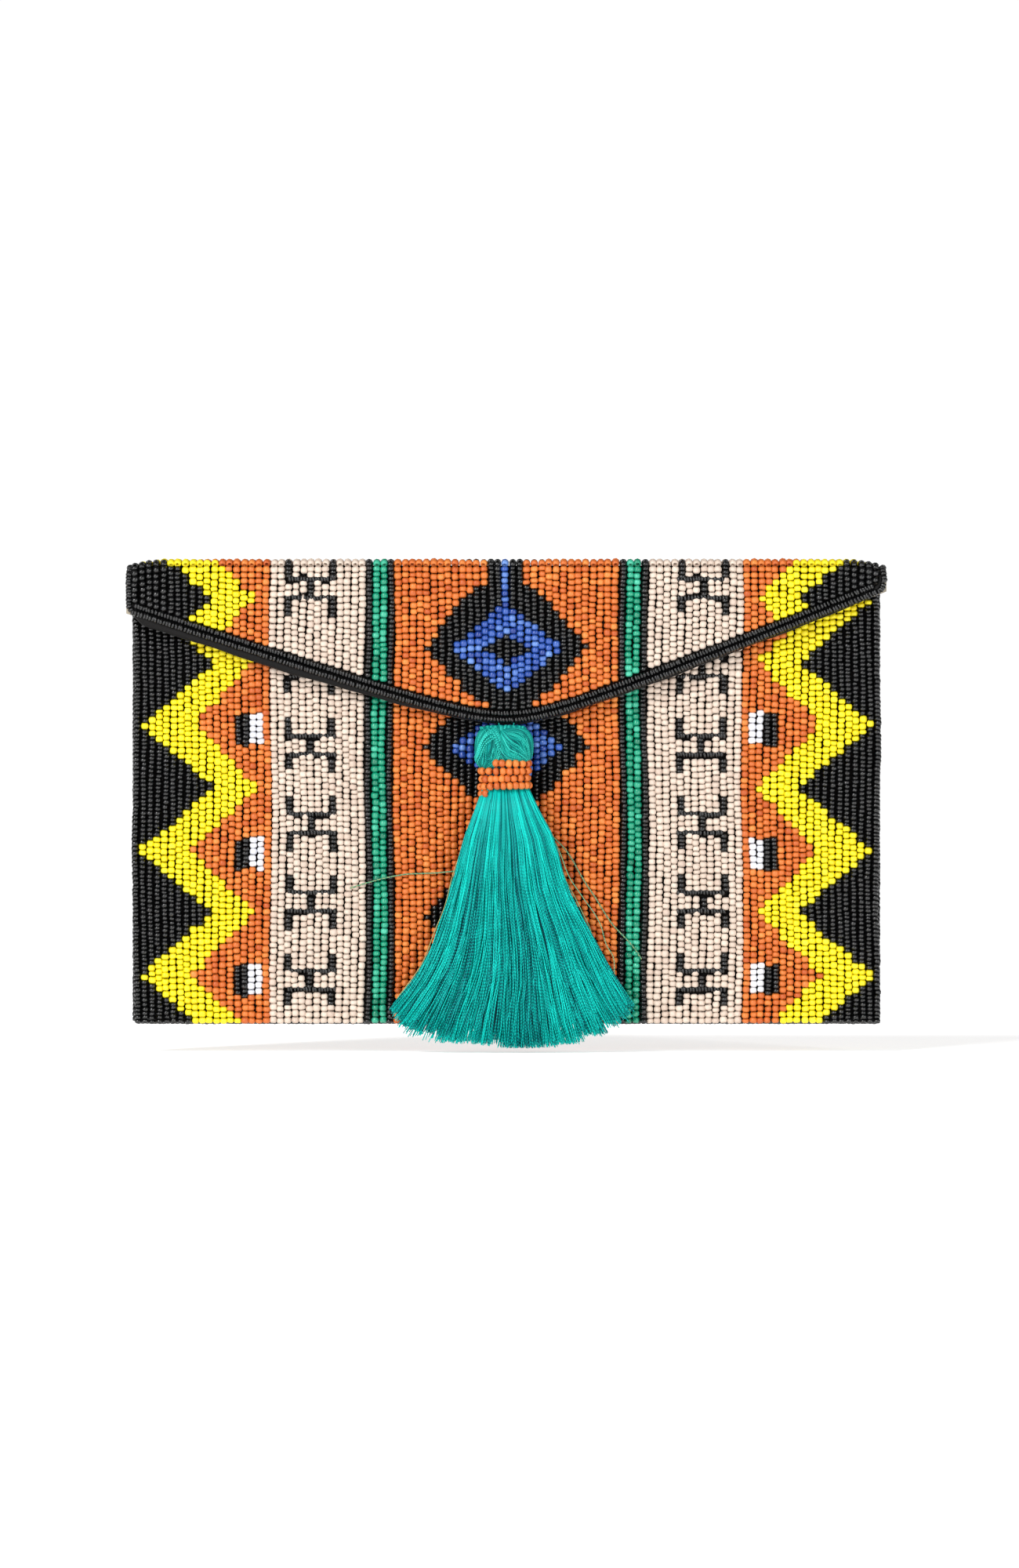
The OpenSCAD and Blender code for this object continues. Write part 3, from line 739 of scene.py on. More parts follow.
@dataclass(frozen=True)
class Pattern:
    """The bead pattern, in columns from the middle and heights from the middle of the purse."""

    columns: int = 103
    field_end: float = 15.5
    green_start: float = 16.5
    green_end: float = 18.5
    blush_start: float = 19.5
    blush_end: float = 32.5
    tooth_h: float = 42.6
    black_tip: float = 50.5
    black_notch: float = 40.2
    yellow_tip: float = 43.2
    yellow_notch: float = 34.5
    body_tooth_z: float = 22.6
    flap_tooth_z: float = 43.7
    figure_c: float = 27.0
    figure_z: float = 42.5
    figure_step: float = 26.6
    flap_figure_z: float = 69.0
    diamond_z: float = 15.1
    diamond_step: float = 58.0
    flap_diamond_z: float = 48.4
    eye_h: float = 10.6
    eye_drop: float = 1.4
    bar_z: float = 3.15
    bar_half: float = 0.95

    def figure_heights(self, face: Face) -> Array:
        """Returns the middles of the hooked figures on a face."""
        if face is Face.FLAP:
            return np.array([self.flap_figure_z])
        return self.figure_z - self.figure_step * np.arange(-1, 5)

    def tones(self, face: Face, column: Array, height: Array) -> Array:
        """Returns the tone at each column and height.

        The outer zigzag runs from a tip to a notch as a triangle wave of the height: its line is
        tip + (notch - tip) * share, where share = 1 - 2 |frac(h) - 1/2| and h is the height over a tooth.

        Args:
            face: which face.
            column: columns from the middle.
            height: heights in millimetres.

        Returns:
            The tones' numbers, in an array of the same shape.
        """
        side = np.abs(column)
        tooth_z = self.flap_tooth_z if face is Face.FLAP else self.body_tooth_z
        share = 1 - 2 * np.abs(((height - tooth_z) / self.tooth_h) % 1 - 0.5)
        black_line = self.black_tip + (self.black_notch - self.black_tip) * share
        yellow_line = self.yellow_tip + (self.yellow_notch - self.yellow_tip) * share
        tone = np.full(side.shape, Tone.ORANGE)
        tone[side > yellow_line] = Tone.YELLOW
        tone[side > black_line] = Tone.BLACK
        tone[side <= self.blush_end] = Tone.BLUSH
        tone[side <= self.blush_start] = Tone.BLACK
        tone[side <= self.green_end] = Tone.GREEN
        tone[side <= self.green_start] = Tone.BLACK
        tone[side <= self.field_end] = Tone.ORANGE
        self._draw_figures(face, side, height, tone)
        self._draw_diamonds(face, side, height, tone)
        if face is not Face.FLAP:
            self._draw_eyes(side, height, tone)
        return tone

    def _draw_figures(self, face: Face, side: Array, height: Array, tone: Array) -> None:
        """Sets the hooked figures: a stem, four hooks, and no bead where the crosswise bars lie."""
        across = np.abs(side - self.figure_c)
        for middle in self.figure_heights(face):
            up = np.abs(height - middle)
            tone[(across < 0.5) & (up < 2.6)] = Tone.BLACK
            tone[(across > 2.5) & (across < 3.5) & (up > 3.9) & (up < 9.2)] = Tone.BLACK
            tone[(across < 3.5) & (np.abs(up - self.bar_z) < self.bar_half)] = Tone.NONE

    def _draw_diamonds(self, face: Face, side: Array, height: Array, tone: Array) -> None:
        """Sets the black diamonds with their blue hearts, and the stem that runs up the flap."""
        heights = [self.diamond_z, self.diamond_z - self.diamond_step]
        if face is Face.FLAP:
            heights = [self.flap_diamond_z]
        if face is Face.BACK:
            heights.append(self.diamond_z + self.diamond_step)
        for middle in heights:
            up = height - middle
            half = np.interp(up, [-24, -14.9, 0, 18, 24], [0, 5.65, 11.3, 5.65, 0])
            heart = side / 7.8 + np.abs(up) / 15.3
            tone[(side <= half) & (np.abs(up) < 24)] = Tone.BLACK
            tone[(heart < 1) & (side / 3.6 + np.abs(up) / 5 > 1)] = Tone.BLUE
        if face is Face.FLAP:
            above = height > self.flap_diamond_z
            tone[above & (side < 2.5) & (tone == Tone.ORANGE)] = Tone.BLACK
            tone[(height > self.flap_diamond_z + 15) & (side < 0.5)] = Tone.BLUE

    def _draw_eyes(self, side: Array, height: Array, tone: Array) -> None:
        """Sets a small white and black block in each tooth of the orange."""
        first = self.body_tooth_z - self.eye_drop
        up = np.abs((height - first + self.tooth_h / 2) % self.tooth_h - self.tooth_h / 2)
        inside = (up < self.eye_h / 2) & (height < self.body_tooth_z + self.tooth_h / 2)
        tone[inside & (side > 33.5) & (side < 35.5)] = Tone.WHITE
        tone[inside & (side > 35.5) & (side < 37.5)] = Tone.BLACK


@dataclass(frozen=True)
class BeadSize:
    """How long and how thick the beads of a tone are, and how far apart they are strung."""

    pitch: float
    radius: float
    fill: float


COLOURED = BeadSize(2.06, 1.26, 0.97)
JET = BeadSize(1.42, 1.2, 1.02)
ROUND_JET = BeadSize(1.9, 1.26, 1.0)
DISC_JET = BeadSize(1.02, 1.15, 1.02)
MOST_BEADS = 2000
NO_COLUMN = 200


def strung(path: Array, facing: Array, kind: BeadSize, seed: int) -> Beads:
    """Returns beads of one size strung along a line."""
    return string(path, facing, kind.pitch, kind.fill, kind.radius, seed)


@dataclass(frozen=True)
class Ground:
    """What every sub-assembly shares: measures, pattern, and how the panels swell and the columns sway."""

    size: Measures
    pattern: Pattern

    @property
    def column(self) -> float:
        """The width of one bead column."""
        return 2 * self.size.half_w / self.pattern.columns

    def swell(self, x: Array, z: Array) -> Array:
        """Returns how far a soft panel stands out: a low crown plus two slow waves, 0 at the edges."""
        reach = np.clip(1 - (x / self.size.half_w) ** 4, 0, 1) * np.clip(1 - (z / self.size.top) ** 4, 0, 1)
        waves = 0.13 * np.sin(x / 19 + 0.7) * np.sin(z / 15 + 0.4) + 0.1 * np.sin(x / 41 - z / 29)
        return reach * (0.4 + waves)

    def droop(self, x: Array, z: Array) -> Array:
        """Returns how far the top's two ends hang down: 0.011 (|x| - 115)^2, fading out down the sides."""
        return 0.011 * np.maximum(np.abs(x) - 115, 0) ** 2 * smooth_step((z - 58) / 18)

    def sway(self, column: Array, z: Array) -> Array:
        """Returns how far a hand-sewn column wanders sideways at a height."""
        return 0.42 * np.sin(z / 17 + column * 0.13) + 0.13 * np.sin(z / 6.3 + column * 1.7)

    def walk(self, columns: Array, low: Array, high: float, tones: Callable, seed: int,
             round_from: float) -> tuple[Array, ...]:
        """Strings beads up every column at once, each as long as its own tone asks.

        Args:
            columns: the columns' numbers.
            low: where each one starts.
            high: where they all end.
            tones: gives the tones at columns and heights.
            seed: the seed for the spread of lengths.
            round_from: the column from which the black beads are the larger round ones.

        Returns:
            Column, height, tone, length and radius of each bead.
        """
        rng = np.random.default_rng(seed)
        z = low + 0.3 * rng.random(len(columns))
        found, start, reach = [], z.copy(), z.copy()
        while (z < high).any():
            tone = tones(columns, z + 0.8)
            black = tone == Tone.BLACK
            rounded = black & (np.abs(columns) >= round_from)
            kinds = (ROUND_JET, JET, COLOURED)
            pitch, radius, fill = (
                np.select([rounded, black, ~black], [getattr(kind, key) for kind in kinds])
                for key in ("pitch", "radius", "fill"))
            pitch = np.where(tone == Tone.NONE, 0.35, pitch * (1 + 0.1 * rng.standard_normal(len(z))))
            radius = radius * (1 + 0.045 * rng.standard_normal(len(z)))
            keep = (z + pitch < high + 0.5) & (tone != Tone.NONE)
            rows = np.stack([columns, z + pitch / 2, tone, pitch * fill, radius], -1)
            found.append(rows[keep])
            z = z + pitch
            reach = np.where(keep, z, reach)
        column, z, tone, length, radius = np.concatenate(found).T
        gap = np.interp(column, columns, high - reach)
        ease = np.interp(column, columns, np.minimum(high - start, 30))
        return column, z + gap * np.clip((z - high + ease) / ease, 0, 1), tone, length, radius


def bead_pieces(beads: Beads, tone: Array, prefix: str, body: str, nodes: Mapping[Tone, str],
                seed: int) -> list[bpy.types.Object]:
    """Makes one piece of the beads of each tone.

    Args:
        beads: all the beads.
        tone: each one's tone.
        prefix: the start of the pieces' names.
        body: the CAD body, or empty for pieces that ride on none.
        nodes: the CAD node that a tone's piece stands for.
        seed: the seed for the beads' own spread.

    Returns:
        The new objects.
    """
    made = []
    for t in Tone:
        mask = tone == t
        if t is Tone.NONE or not mask.any():
            continue
        profile = SMALL_BEAD if t is Tone.BLACK else FULL_BEAD
        stands_for = [nodes[t]] if t in nodes else []
        left = beads.centre[:, 0] < np.median(beads.centre[mask][:, 0])
        parts = {"": mask}
        if mask.sum() > MOST_BEADS:
            parts = {"": mask & left, "_right": mask & ~left}
        for k, (suffix, part) in enumerate(parts.items()):
            shape = beads.where(part).shape(profile, seed + t + 30 * k)
            name = f"{prefix}_{t.name.lower()}{suffix}"
            made.append(shape.piece(name, BEAD_GLASS[t], body, t.slot, stands_for))
    return made


# ---------------------------------------------------------------- beaded faces

@dataclass(frozen=True)
class BeadedFace:
    """One beaded face of the purse: upright strings of beads sewn side by side on the cloth."""

    ground: Ground
    face: Face
    body: str
    middle_y: float
    facing: float
    crown: float
    low: Callable[[Array], Array]
    high: float
    seed: int
    round_from: float = NO_COLUMN

    def build(self) -> None:
        """Makes a piece of each tone, each with the crosswise bars of its figures."""
        pattern, ground = self.ground.pattern, self.ground
        half = pattern.columns // 2
        columns = np.arange(-half, half + 1, dtype=float)
        rough_low = self.low(columns * ground.column)

        def tones(column: Array, height: Array) -> Array:
            """Returns the tones of this face, with a bare patch kept for the snap."""
            tone = pattern.tones(self.face, column, height)
            if self.face is Face.FRONT:
                away = np.hypot(column * ground.column, height - Snap.height)
                tone[away < Snap.bare_radius] = Tone.NONE
            return tone

        column, z, tone, length, radius = ground.walk(
            columns, rough_low, self.high, tones, self.seed, self.round_from)
        strings = self._place(column * ground.column + ground.sway(column, z), z, length, radius)
        bars = self._bars()
        beads = Beads.joined([strings, bars])
        tone = np.concatenate([tone, np.full(len(bars.centre), Tone.BLACK)])
        nodes = {t: f"{self.face.value}_beads_{t.name.lower()}" for t in Tone}
        have = {t: n for t, n in nodes.items() if n in frame["nodes"]}
        bead_pieces(beads, tone, f"{self.face.value}_beads", self.body, have, self.seed)

    def _place(self, x: Array, z: Array, length: Array, radius: Array) -> Beads:
        """Returns beads at x and z on the swollen face, with a little spread in each direction."""
        rng = np.random.default_rng(self.seed + 50)
        swell = self.crown * self.ground.swell(x, z)
        y = self.middle_y + self.facing * swell + 0.09 * rng.standard_normal(len(x))
        centre = np.stack([x + 0.09 * rng.standard_normal(len(x)), y, z - self.ground.droop(x, z)], -1)
        thread = np.broadcast_to([0.0, 0.0, 1.0], centre.shape)
        facing = np.broadcast_to([0.0, self.facing, 0.0], centre.shape)
        return Beads(centre, thread, facing, length, radius)

    def _bars(self) -> Beads:
        """Returns the crosswise bars: strings of thin discs, two to a figure."""
        pattern, column = self.ground.pattern, self.ground.column
        found = []
        for middle in pattern.figure_heights(self.face):
            for z in (middle - pattern.bar_z, middle + pattern.bar_z):
                for side in (-1, 1):
                    ends = side * (pattern.figure_c + np.array([-3.5, 3.5])) * column
                    if z + pattern.bar_half < self.high and z - pattern.bar_half > self.low(ends).max():
                        x = np.linspace(*ends, 70)
                        swell = self.crown * self.ground.swell(x, z)
                        line = np.stack([x, self.middle_y + self.facing * (swell + 0.1), np.full(70, z)], -1)
                        line[:, 2] += 0.12 * np.sin(x * 0.5 + middle)
                        seed = self.seed + int(middle * 10 + z) % 97
                        facing = np.array([0, self.facing, 0])
                        found.append(strung(line, facing, DISC_JET, seed))
        return Beads.joined(found)


# ---------------------------------------------------------------- the folds and the top

@dataclass(frozen=True)
class TopRoll:
    """The top of the purse: the spine between the two folds, with the beads that turn over each fold."""

    ground: Ground
    arc_radius: float = 1.4
    bead_lift: float = 1.4
    turn: float = 2.2
    seed: int = 400

    @property
    def span(self) -> float:
        """The distance between the two fold lines."""
        return self.ground.size.back_axis[0] - self.ground.size.front_axis[0]

    def tones(self, column: Array, along: Array) -> Array:
        """Returns the tones on the top, where the back's middle field meets the flap's sides.

        Args:
            column: columns from the middle.
            along: the way forward from the back fold's start, round both folds.
        """
        fold_z = self.ground.size.back_axis[1]
        whole = self.span + 2 * self.turn
        back = self.ground.pattern.tones(Face.BACK, column, fold_z + along)
        mirrored = fold_z + np.minimum(along, whole - along)
        flap = self.ground.pattern.tones(Face.FLAP, column, mirrored)
        middle = np.abs(column) <= self.ground.pattern.field_end
        stem = (flap == Tone.BLACK) | (flap == Tone.BLUE)
        tone = np.where(middle & ~stem, back, flap)
        tone[tone == Tone.NONE] = Tone.BLUSH
        return tone

    def build(self) -> None:
        """Makes the spine's beads, the beads round both folds, and the edging strand at each end."""
        ground = self.ground
        half = ground.pattern.columns // 2
        columns = np.arange(-half, half + 1, dtype=float)
        start = np.full(len(columns), 0.1)
        column, way, tone, length, radius = ground.walk(
            columns, start, self.span - 0.1, lambda c, s: self.tones(c, s + self.turn), self.seed, NO_COLUMN)
        back_y, fold_z = ground.size.back_axis
        x = column * ground.column + ground.sway(column, np.full(len(column), fold_z))
        z = fold_z + self.bead_lift + self._jitter(len(x), 1)
        centre = np.stack([x, back_y - way, z - ground.droop(x, z)], -1)
        thread = np.broadcast_to([0.0, -1.0, 0.0], centre.shape)
        facing = np.broadcast_to([0.0, 0.0, 1.0], centre.shape)
        beads = Beads(centre, thread, facing, length, radius)
        first = {Tone.ORANGE: "spine_beads"}
        bead_pieces(beads, tone, "spine_beads", "spine", first, self.seed)
        whole = self.span + 2 * self.turn
        self._fold(columns, "back", ground.size.back_axis, 1, 0.5 * self.turn)
        self._fold(columns, "front", ground.size.front_axis, -1, whole - 0.5 * self.turn)
        self._ends()

    def _jitter(self, count: int, seed: int) -> Array:
        """Returns a small seeded spread."""
        return 0.06 * np.random.default_rng(self.seed + seed).standard_normal(count)

    def _fold(self, columns: Array, name: str, axis: tuple, side: int, along: float) -> None:
        """Makes the beads that turn over one fold, as pieces that lie between its two bodies and ride on neither.

        A bead at angle a stands at axis + r (cos a, sin a), where side mirrors the angle from back to front.

        Args:
            columns: every column's number.
            name: "back" or "front".
            axis: the fold line's y and z.
            side: 1 at the back, -1 at the front.
            along: where the tones are taken.
        """
        tone = self.tones(columns, np.full(len(columns), along))
        angles = {False: [45.0], True: [23.0, 67.0]}
        rows = [(c, a, t) for c, t in zip(columns, tone) for a in angles[bool(t == Tone.BLACK)]]
        column, angle, tone = (np.array(v, float) for v in zip(*rows))
        turn = np.radians(angle)
        x = column * self.ground.column + self.ground.sway(column, np.full(len(column), axis[1]))
        out = np.stack([np.zeros(len(x)), side * np.cos(turn), np.sin(turn)], -1)
        along_thread = np.stack([np.zeros(len(x)), -side * np.sin(turn), np.cos(turn)], -1)
        level = np.full(len(x), axis[1])
        middle = np.stack([x, np.full(len(x), axis[0]), level - self.ground.droop(x, level)], -1)
        centre = middle + out * self.arc_radius
        black = tone == Tone.BLACK
        length = np.where(black, 1.25, 2.0)
        radius = np.where(black, JET.radius, COLOURED.radius)
        beads = Beads(centre, along_thread, out, length, radius)
        prefix = f"{name}_fold_beads"
        body_beads = bead_pieces(beads, tone, prefix, "", {Tone.ORANGE: prefix}, self.seed + 7)
        for made in body_beads:
            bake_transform(made)

    def _ends(self) -> None:
        """Makes the black strand along each end of the spine."""
        size = self.ground.size
        found = []
        for side in (-1, 1):
            y = np.linspace(size.back_axis[0] - 0.4, size.front_axis[0] + 0.4, 40)
            line = np.stack([np.full(40, side * (size.half_w + 0.9)), y, np.full(40, size.top - 3.0)], -1)
            found.append(strung(line, np.array([side, 0, 0.6]), JET, self.seed + side))
        shape = join([b.shape(SMALL_BEAD, self.seed + 20 + k) for k, b in enumerate(found)])
        shape.piece("spine_end_strands", BEAD_GLASS[Tone.BLACK], "spine", Tone.BLACK.slot)


# ---------------------------------------------------------------- edges

@dataclass(frozen=True)
class Edges:
    """The narrow sides and the bottom: black beads in rows over the cloth's turned edges."""

    ground: Ground
    rows: tuple[float, ...] = (-3.4, -5.8, -8.2, -10.6)
    seed: int = 500

    def build(self) -> None:
        """Makes the left, right and bottom strips."""
        size = self.ground.size
        for side, node in ((-1, "left_edge_beads"), (1, "right_edge_beads")):
            x = side * (size.half_w - 0.9)
            z = np.linspace(size.bottom + 1.2, size.mouth - 0.3, 120)
            lines = [np.stack([np.full(120, x), y + 0.12 * np.sin(z / 9 + y), z], -1) for y in self.rows]
            self._strip(lines, np.array([side, 0, 0]), node, self.seed + side)
        x = np.linspace(-size.half_w + 1.2, size.half_w - 1.2, 160)
        low = np.full(160, size.bottom + 1.1)
        lines = [np.stack([x, y + 0.12 * np.sin(x / 9 + y), low], -1) for y in self.rows]
        self._strip(lines, np.array([0, 0, -1]), "bottom_beads", self.seed + 5)

    def _strip(self, lines: list[Array], facing: Array, node: str, seed: int) -> None:
        """Makes one strip as a single piece in place of its CAD node."""
        strings = [strung(line, facing, JET, seed * 9 + k) for k, line in enumerate(lines)]
        shape = join([b.shape(SMALL_BEAD, seed * 9 + 50 + k) for k, b in enumerate(strings)])
        shape.piece(node, BEAD_GLASS[Tone.BLACK], "purse", Tone.BLACK.slot, [node])


@dataclass(frozen=True)
class FlapEdge:
    """The flap's pointed edge: two strands of thin black beads and a cloth binding below them."""

    ground: Ground
    tip_z: float = 25.5
    roundness: float = 18.0
    left_rise: float = 0.333
    right_rise: float = 0.4
    field_gap: float = 2.25
    strand: float = 1.16
    side_x: float = 128.0
    left_width: float = 4.6
    right_width: float = 2.9
    side_width: float = 2.3
    seed: int = 600

    def edge(self, x: Array, out: float = 0.0) -> tuple[Array, Array]:
        """Returns the edge's points, moved square to it by a distance.

        The edge is z = tip + rise * (sqrt(x^2 + r^2) - r); its slope is rise * x / sqrt(x^2 + r^2).
        """
        rise = np.where(x < 0, self.left_rise, self.right_rise)
        far = np.sqrt(x**2 + self.roundness**2)
        slope = rise * x / far
        norm = np.sqrt(1 + slope**2)
        return x + slope * out / norm, self.tip_z + rise * (far - self.roundness) - out / norm

    def field_low(self, x: Array) -> Array:
        """Returns where the flap's bead columns start."""
        edge_x, edge_z = self.edge(np.linspace(-140, 140, 600), -self.field_gap)
        return np.interp(x, edge_x, edge_z)

    def _swollen(self, x: Array, z: Array, y: float) -> Array:
        """Returns points on the flap's swollen plane."""
        return np.stack([x, y - self.ground.swell(x, z), z], -1)

    def build(self) -> None:
        """Makes the strands and the binding."""
        size = self.ground.size
        y = size.flap_y + size.bead / 2
        facing = np.array([0, -1, 0])
        inner = self._swollen(*self.edge(np.linspace(-126.6, 126.6, 700), -self.strand), y)
        across = np.linspace(-self.side_x + 1.5, self.side_x - 1.5, 700)
        lower = self._swollen(*self.edge(across, self.strand), y)
        left, right = self._side(lower[0], -1, y), self._side(lower[-1], 1, y)
        outer = np.vstack([left[::-1], lower, right])
        strands = [string(line, facing, DISC_JET.pitch * 1.05, 1.0, DISC_JET.radius, self.seed + k)
                   for k, line in enumerate((inner, outer))]
        shape = join([b.shape(SMALL_BEAD, self.seed + 10 + k, 0.13) for k, b in enumerate(strands)])
        shape.piece("flap_edge_strands", BEAD_GLASS[Tone.BLACK], "flap", Tone.BLACK.slot, ["flap_edge_cord"])
        self._binding().piece("flap_binding", BINDING_CLOTH, "flap", "base_cloth", ["flap_binding"])

    def _side(self, start: Array, side: int, y: float) -> Array:
        """Returns the outer strand's way up one side of the flap and its turn inwards at the top."""
        x = side * self.side_x
        knots = [start, [x - side * 0.2, y, start[2] + 1.6], [x, y, start[2] + 4], [x + side * 0.1, y, 71.5],
                 [x - side * 0.1, y + 0.2, 74.0], [x - side * 0.5, y + 1.5, 76.0]]
        return curve(knots, 60)[1:]

    def _binding(self) -> Shape:
        """Returns the binding: an oval section carried up one side, along the edge, and up the other side.

        At each station the section is base + normal * wide / 2 * (1 + cos a), y = centre + depth * sin a,
        where the cosine and the sine are raised to a power below one for a plump oval. The normal turns
        evenly round each corner.
        """
        x = np.linspace(-self.side_x + 3.5, self.side_x - 3.5, 250)
        low = np.stack(self.edge(x), -1)
        step = np.stack(self.edge(x, 1.0), -1) - low
        side_z = np.linspace(1, 0, 14)[:, None]
        line, normal = [low], [step]
        for end, sign in ((0, -1), (-1, 1)):
            foot = low[end] + [sign * 1.6, 2.0]
            head = np.array([sign * (self.side_x - 1.2), self.ground.size.panel_top])
            climb = foot + (head - foot) * side_z[::-1]
            turn = step[end] + (np.array([sign, 0.0]) - step[end]) * np.linspace(0.2, 0.8, 5)[:, None]
            corner = low[end] + (foot - low[end]) * np.linspace(0.1, 0.8, 5)[:, None]
            parts = [np.vstack([corner, climb]), np.vstack([turn, np.repeat([[sign, 0.0]], len(climb), 0)])]
            line = [parts[0][::-1], *line] if sign < 0 else [*line, parts[0]]
            normal = [parts[1][::-1], *normal] if sign < 0 else [*normal, parts[1]]
        base, out = np.vstack(line), unit(np.vstack(normal))
        side, left, right = self.side_width, self.left_width, self.right_width
        wide = np.interp(base[:, 0], [-126, -122, -70, -20, 20, 122, 126],
                         [side, left, left, right, right, right, side])
        wide = wide + 0.12 * np.sin(base[:, 0] / 7) + 0.1 * np.sin(base[:, 0] / 2.9 + 1)
        angle = 2 * np.pi * np.arange(14) / 14
        cos, sin = np.cos(angle), np.sin(angle)
        cos, sin = np.sign(cos) * np.abs(cos) ** 0.7, np.sign(sin) * np.abs(sin) ** 0.7
        reach = wide[:, None] / 2 * (1 + cos) - 0.3
        spot = base[:, None] + out[:, None] * reach[..., None]
        y = -17.0 - self.ground.swell(spot[..., 0], spot[..., 1]) + 1.4 * sin
        return loft(np.stack([spot[..., 0], y, spot[..., 1]], -1))


# ---------------------------------------------------------------- cloth, boards and lining

@dataclass(frozen=True)
class Cloth:
    """What a sheet is cut from: its finish, its thickness and its material slot."""

    finish: object
    thick: float
    slot: str


PLAIN_CLOTH = Cloth(BASE_CLOTH, 0.6, "base_cloth")
SATIN_CLOTH = Cloth(LINING_SATIN, 0.4, "satin_lining")
FOLD_CLOTH = Cloth(BASE_CLOTH, 0.5, "base_cloth")
FOLD_SATIN = Cloth(LINING_SATIN, 0.3, "satin_lining")
POCKET_SATIN = Cloth(LINING_SATIN, 0.35, "satin_lining")


@dataclass(frozen=True)
class Linings:
    """The base cloths and the satin lining with its pocket, on either side of the boards."""

    ground: Ground
    edge: FlapEdge
    cell: float = 4.0
    cloth_inset: float = 1.6
    satin_inset: float = 3.4
    back_cloth_y: float = -2.5
    back_satin_y: float = -3.8
    front_satin_y: float = -10.2
    front_cloth_y: float = -11.5
    flap_satin_y: float = -15.7
    flap_cloth_y: float = -17.0
    front_crown: float = 0.35
    bottom_cloth_up: float = 2.5
    bottom_satin_up: float = 3.0
    spine_satin_down: float = 1.3

    def build(self) -> None:
        """Makes every sheet of the purse, its spine and its flap."""
        size = self.ground.size
        wide, inner = size.half_w - self.cloth_inset, size.half_w - self.satin_inset
        low, satin_low = size.bottom + 1, size.bottom + 3.2
        cloth_z, satin_z = size.bottom + self.bottom_cloth_up, size.bottom + self.bottom_satin_up
        spine_z = size.back_axis[1]
        self._upright("back_cloth", self.back_cloth_y, wide, low, size.panel_top, PLAIN_CLOTH, 0)
        self._upright("front_cloth", self.front_cloth_y, wide, low, size.mouth, PLAIN_CLOTH, self.front_crown)
        self._upright("back_lining", self.back_satin_y, inner, satin_low, size.panel_top, SATIN_CLOTH, 0)
        self._upright("front_lining", self.front_satin_y, inner, satin_low, size.mouth, SATIN_CLOTH, 0)
        self._level("bottom_cloth", cloth_z, wide, -2.8, -11.2, PLAIN_CLOTH, "purse")
        self._level("bottom_lining", satin_z, inner, -4.0, -10.0, SATIN_CLOTH, "purse")
        self._level("spine_cloth", spine_z, wide, -3.4, -16.1, PLAIN_CLOTH, "spine")
        self._level("spine_lining", spine_z - self.spine_satin_down, inner, -4.2, -15.3, SATIN_CLOTH, "spine")
        self._gussets()
        self._flap("flap_cloth", self.flap_cloth_y, 1, wide, PLAIN_CLOTH)
        self._flap("flap_lining", self.flap_satin_y, 0, wide, SATIN_CLOTH)
        self._hem()
        self._pocket()
        self._folds()

    def _sheet(self, name: str, points: Array, cloth: Cloth, body: str, nodes: Sequence[str]) -> bpy.types.Object:
        """Makes a sheet of real thickness from a grid of points.

        Args:
            name: the piece's name.
            points: the sheet's middle surface, rows by columns by 3.
            cloth: what it is cut from.
            body: the body it rides on, or empty.
            nodes: the CAD nodes that it stands for.

        Returns:
            The new object.
        """
        made = grid(points).piece(name, cloth.finish, body, cloth.slot, nodes)
        solid = made.modifiers.new("thickness", "SOLIDIFY")
        solid.thickness, solid.offset = cloth.thick * MM, 0
        return made

    def _upright(self, name: str, y: float, half: float, low: float, high: float, cloth: Cloth,
                 swell: float) -> None:
        """Makes an upright panel between two heights, swollen or flat."""
        x = np.linspace(-half, half, int(2 * half / self.cell))
        z = np.linspace(low, high, int((high - low) / self.cell))
        grid_x, grid_z = np.meshgrid(x, z)
        grid_y = y - swell * self.ground.swell(grid_x, grid_z)
        ripple = 0.06 * np.sin(grid_x / 23 + grid_z / 11) if cloth is SATIN_CLOTH else 0
        points = np.stack([grid_x, grid_y + ripple, grid_z], -1)
        self._sheet(name, points, cloth, "purse", [name])

    def _level(self, name: str, z: float, half: float, back: float, front: float, cloth: Cloth,
               body: str) -> None:
        """Makes a level strip from the back to the front."""
        x = np.linspace(-half, half, int(2 * half / self.cell))
        grid_x, grid_y = np.meshgrid(x, np.linspace(back, front, 5))
        points = np.stack([grid_x, grid_y, np.full(grid_x.shape, z)], -1)
        self._sheet(name, points, cloth, body, [name])

    def _gussets(self) -> None:
        """Makes the lining of the two narrow sides, each with a soft fold inwards."""
        size = self.ground.size
        for side, node in ((-1, "left_gusset"), (1, "right_gusset")):
            z = np.linspace(size.bottom + 3.2, size.mouth, 40)
            grid_y, grid_z = np.meshgrid(np.linspace(-3.9, -10.1, 7), z)
            tuck = 0.35 * np.cos((grid_y + 7) / 3.1 * np.pi / 2)
            grid_x = side * (size.half_w - 2.75 - tuck)
            self._sheet(node, np.stack([grid_x, grid_y, grid_z], -1), SATIN_CLOTH, "purse", [node])

    def _flap(self, name: str, y: float, swell: int, half: float, cloth: Cloth) -> None:
        """Makes a sheet of the flap, from its pointed edge to the front fold, swollen or flat."""
        x = np.linspace(-half, half, int(2 * half / self.cell))
        low = np.interp(x, *self.edge.edge(np.linspace(-140, 140, 500), 1.0))
        high = self.ground.size.panel_top + 0.6
        share = np.linspace(0, 1, 16)[:, None]
        grid_z = low + share * (high - low)
        grid_x = np.broadcast_to(x, grid_z.shape)
        points = np.stack([grid_x, y - swell * self.ground.swell(grid_x, grid_z), grid_z], -1)
        self._sheet(name, points, cloth, "flap", [name])

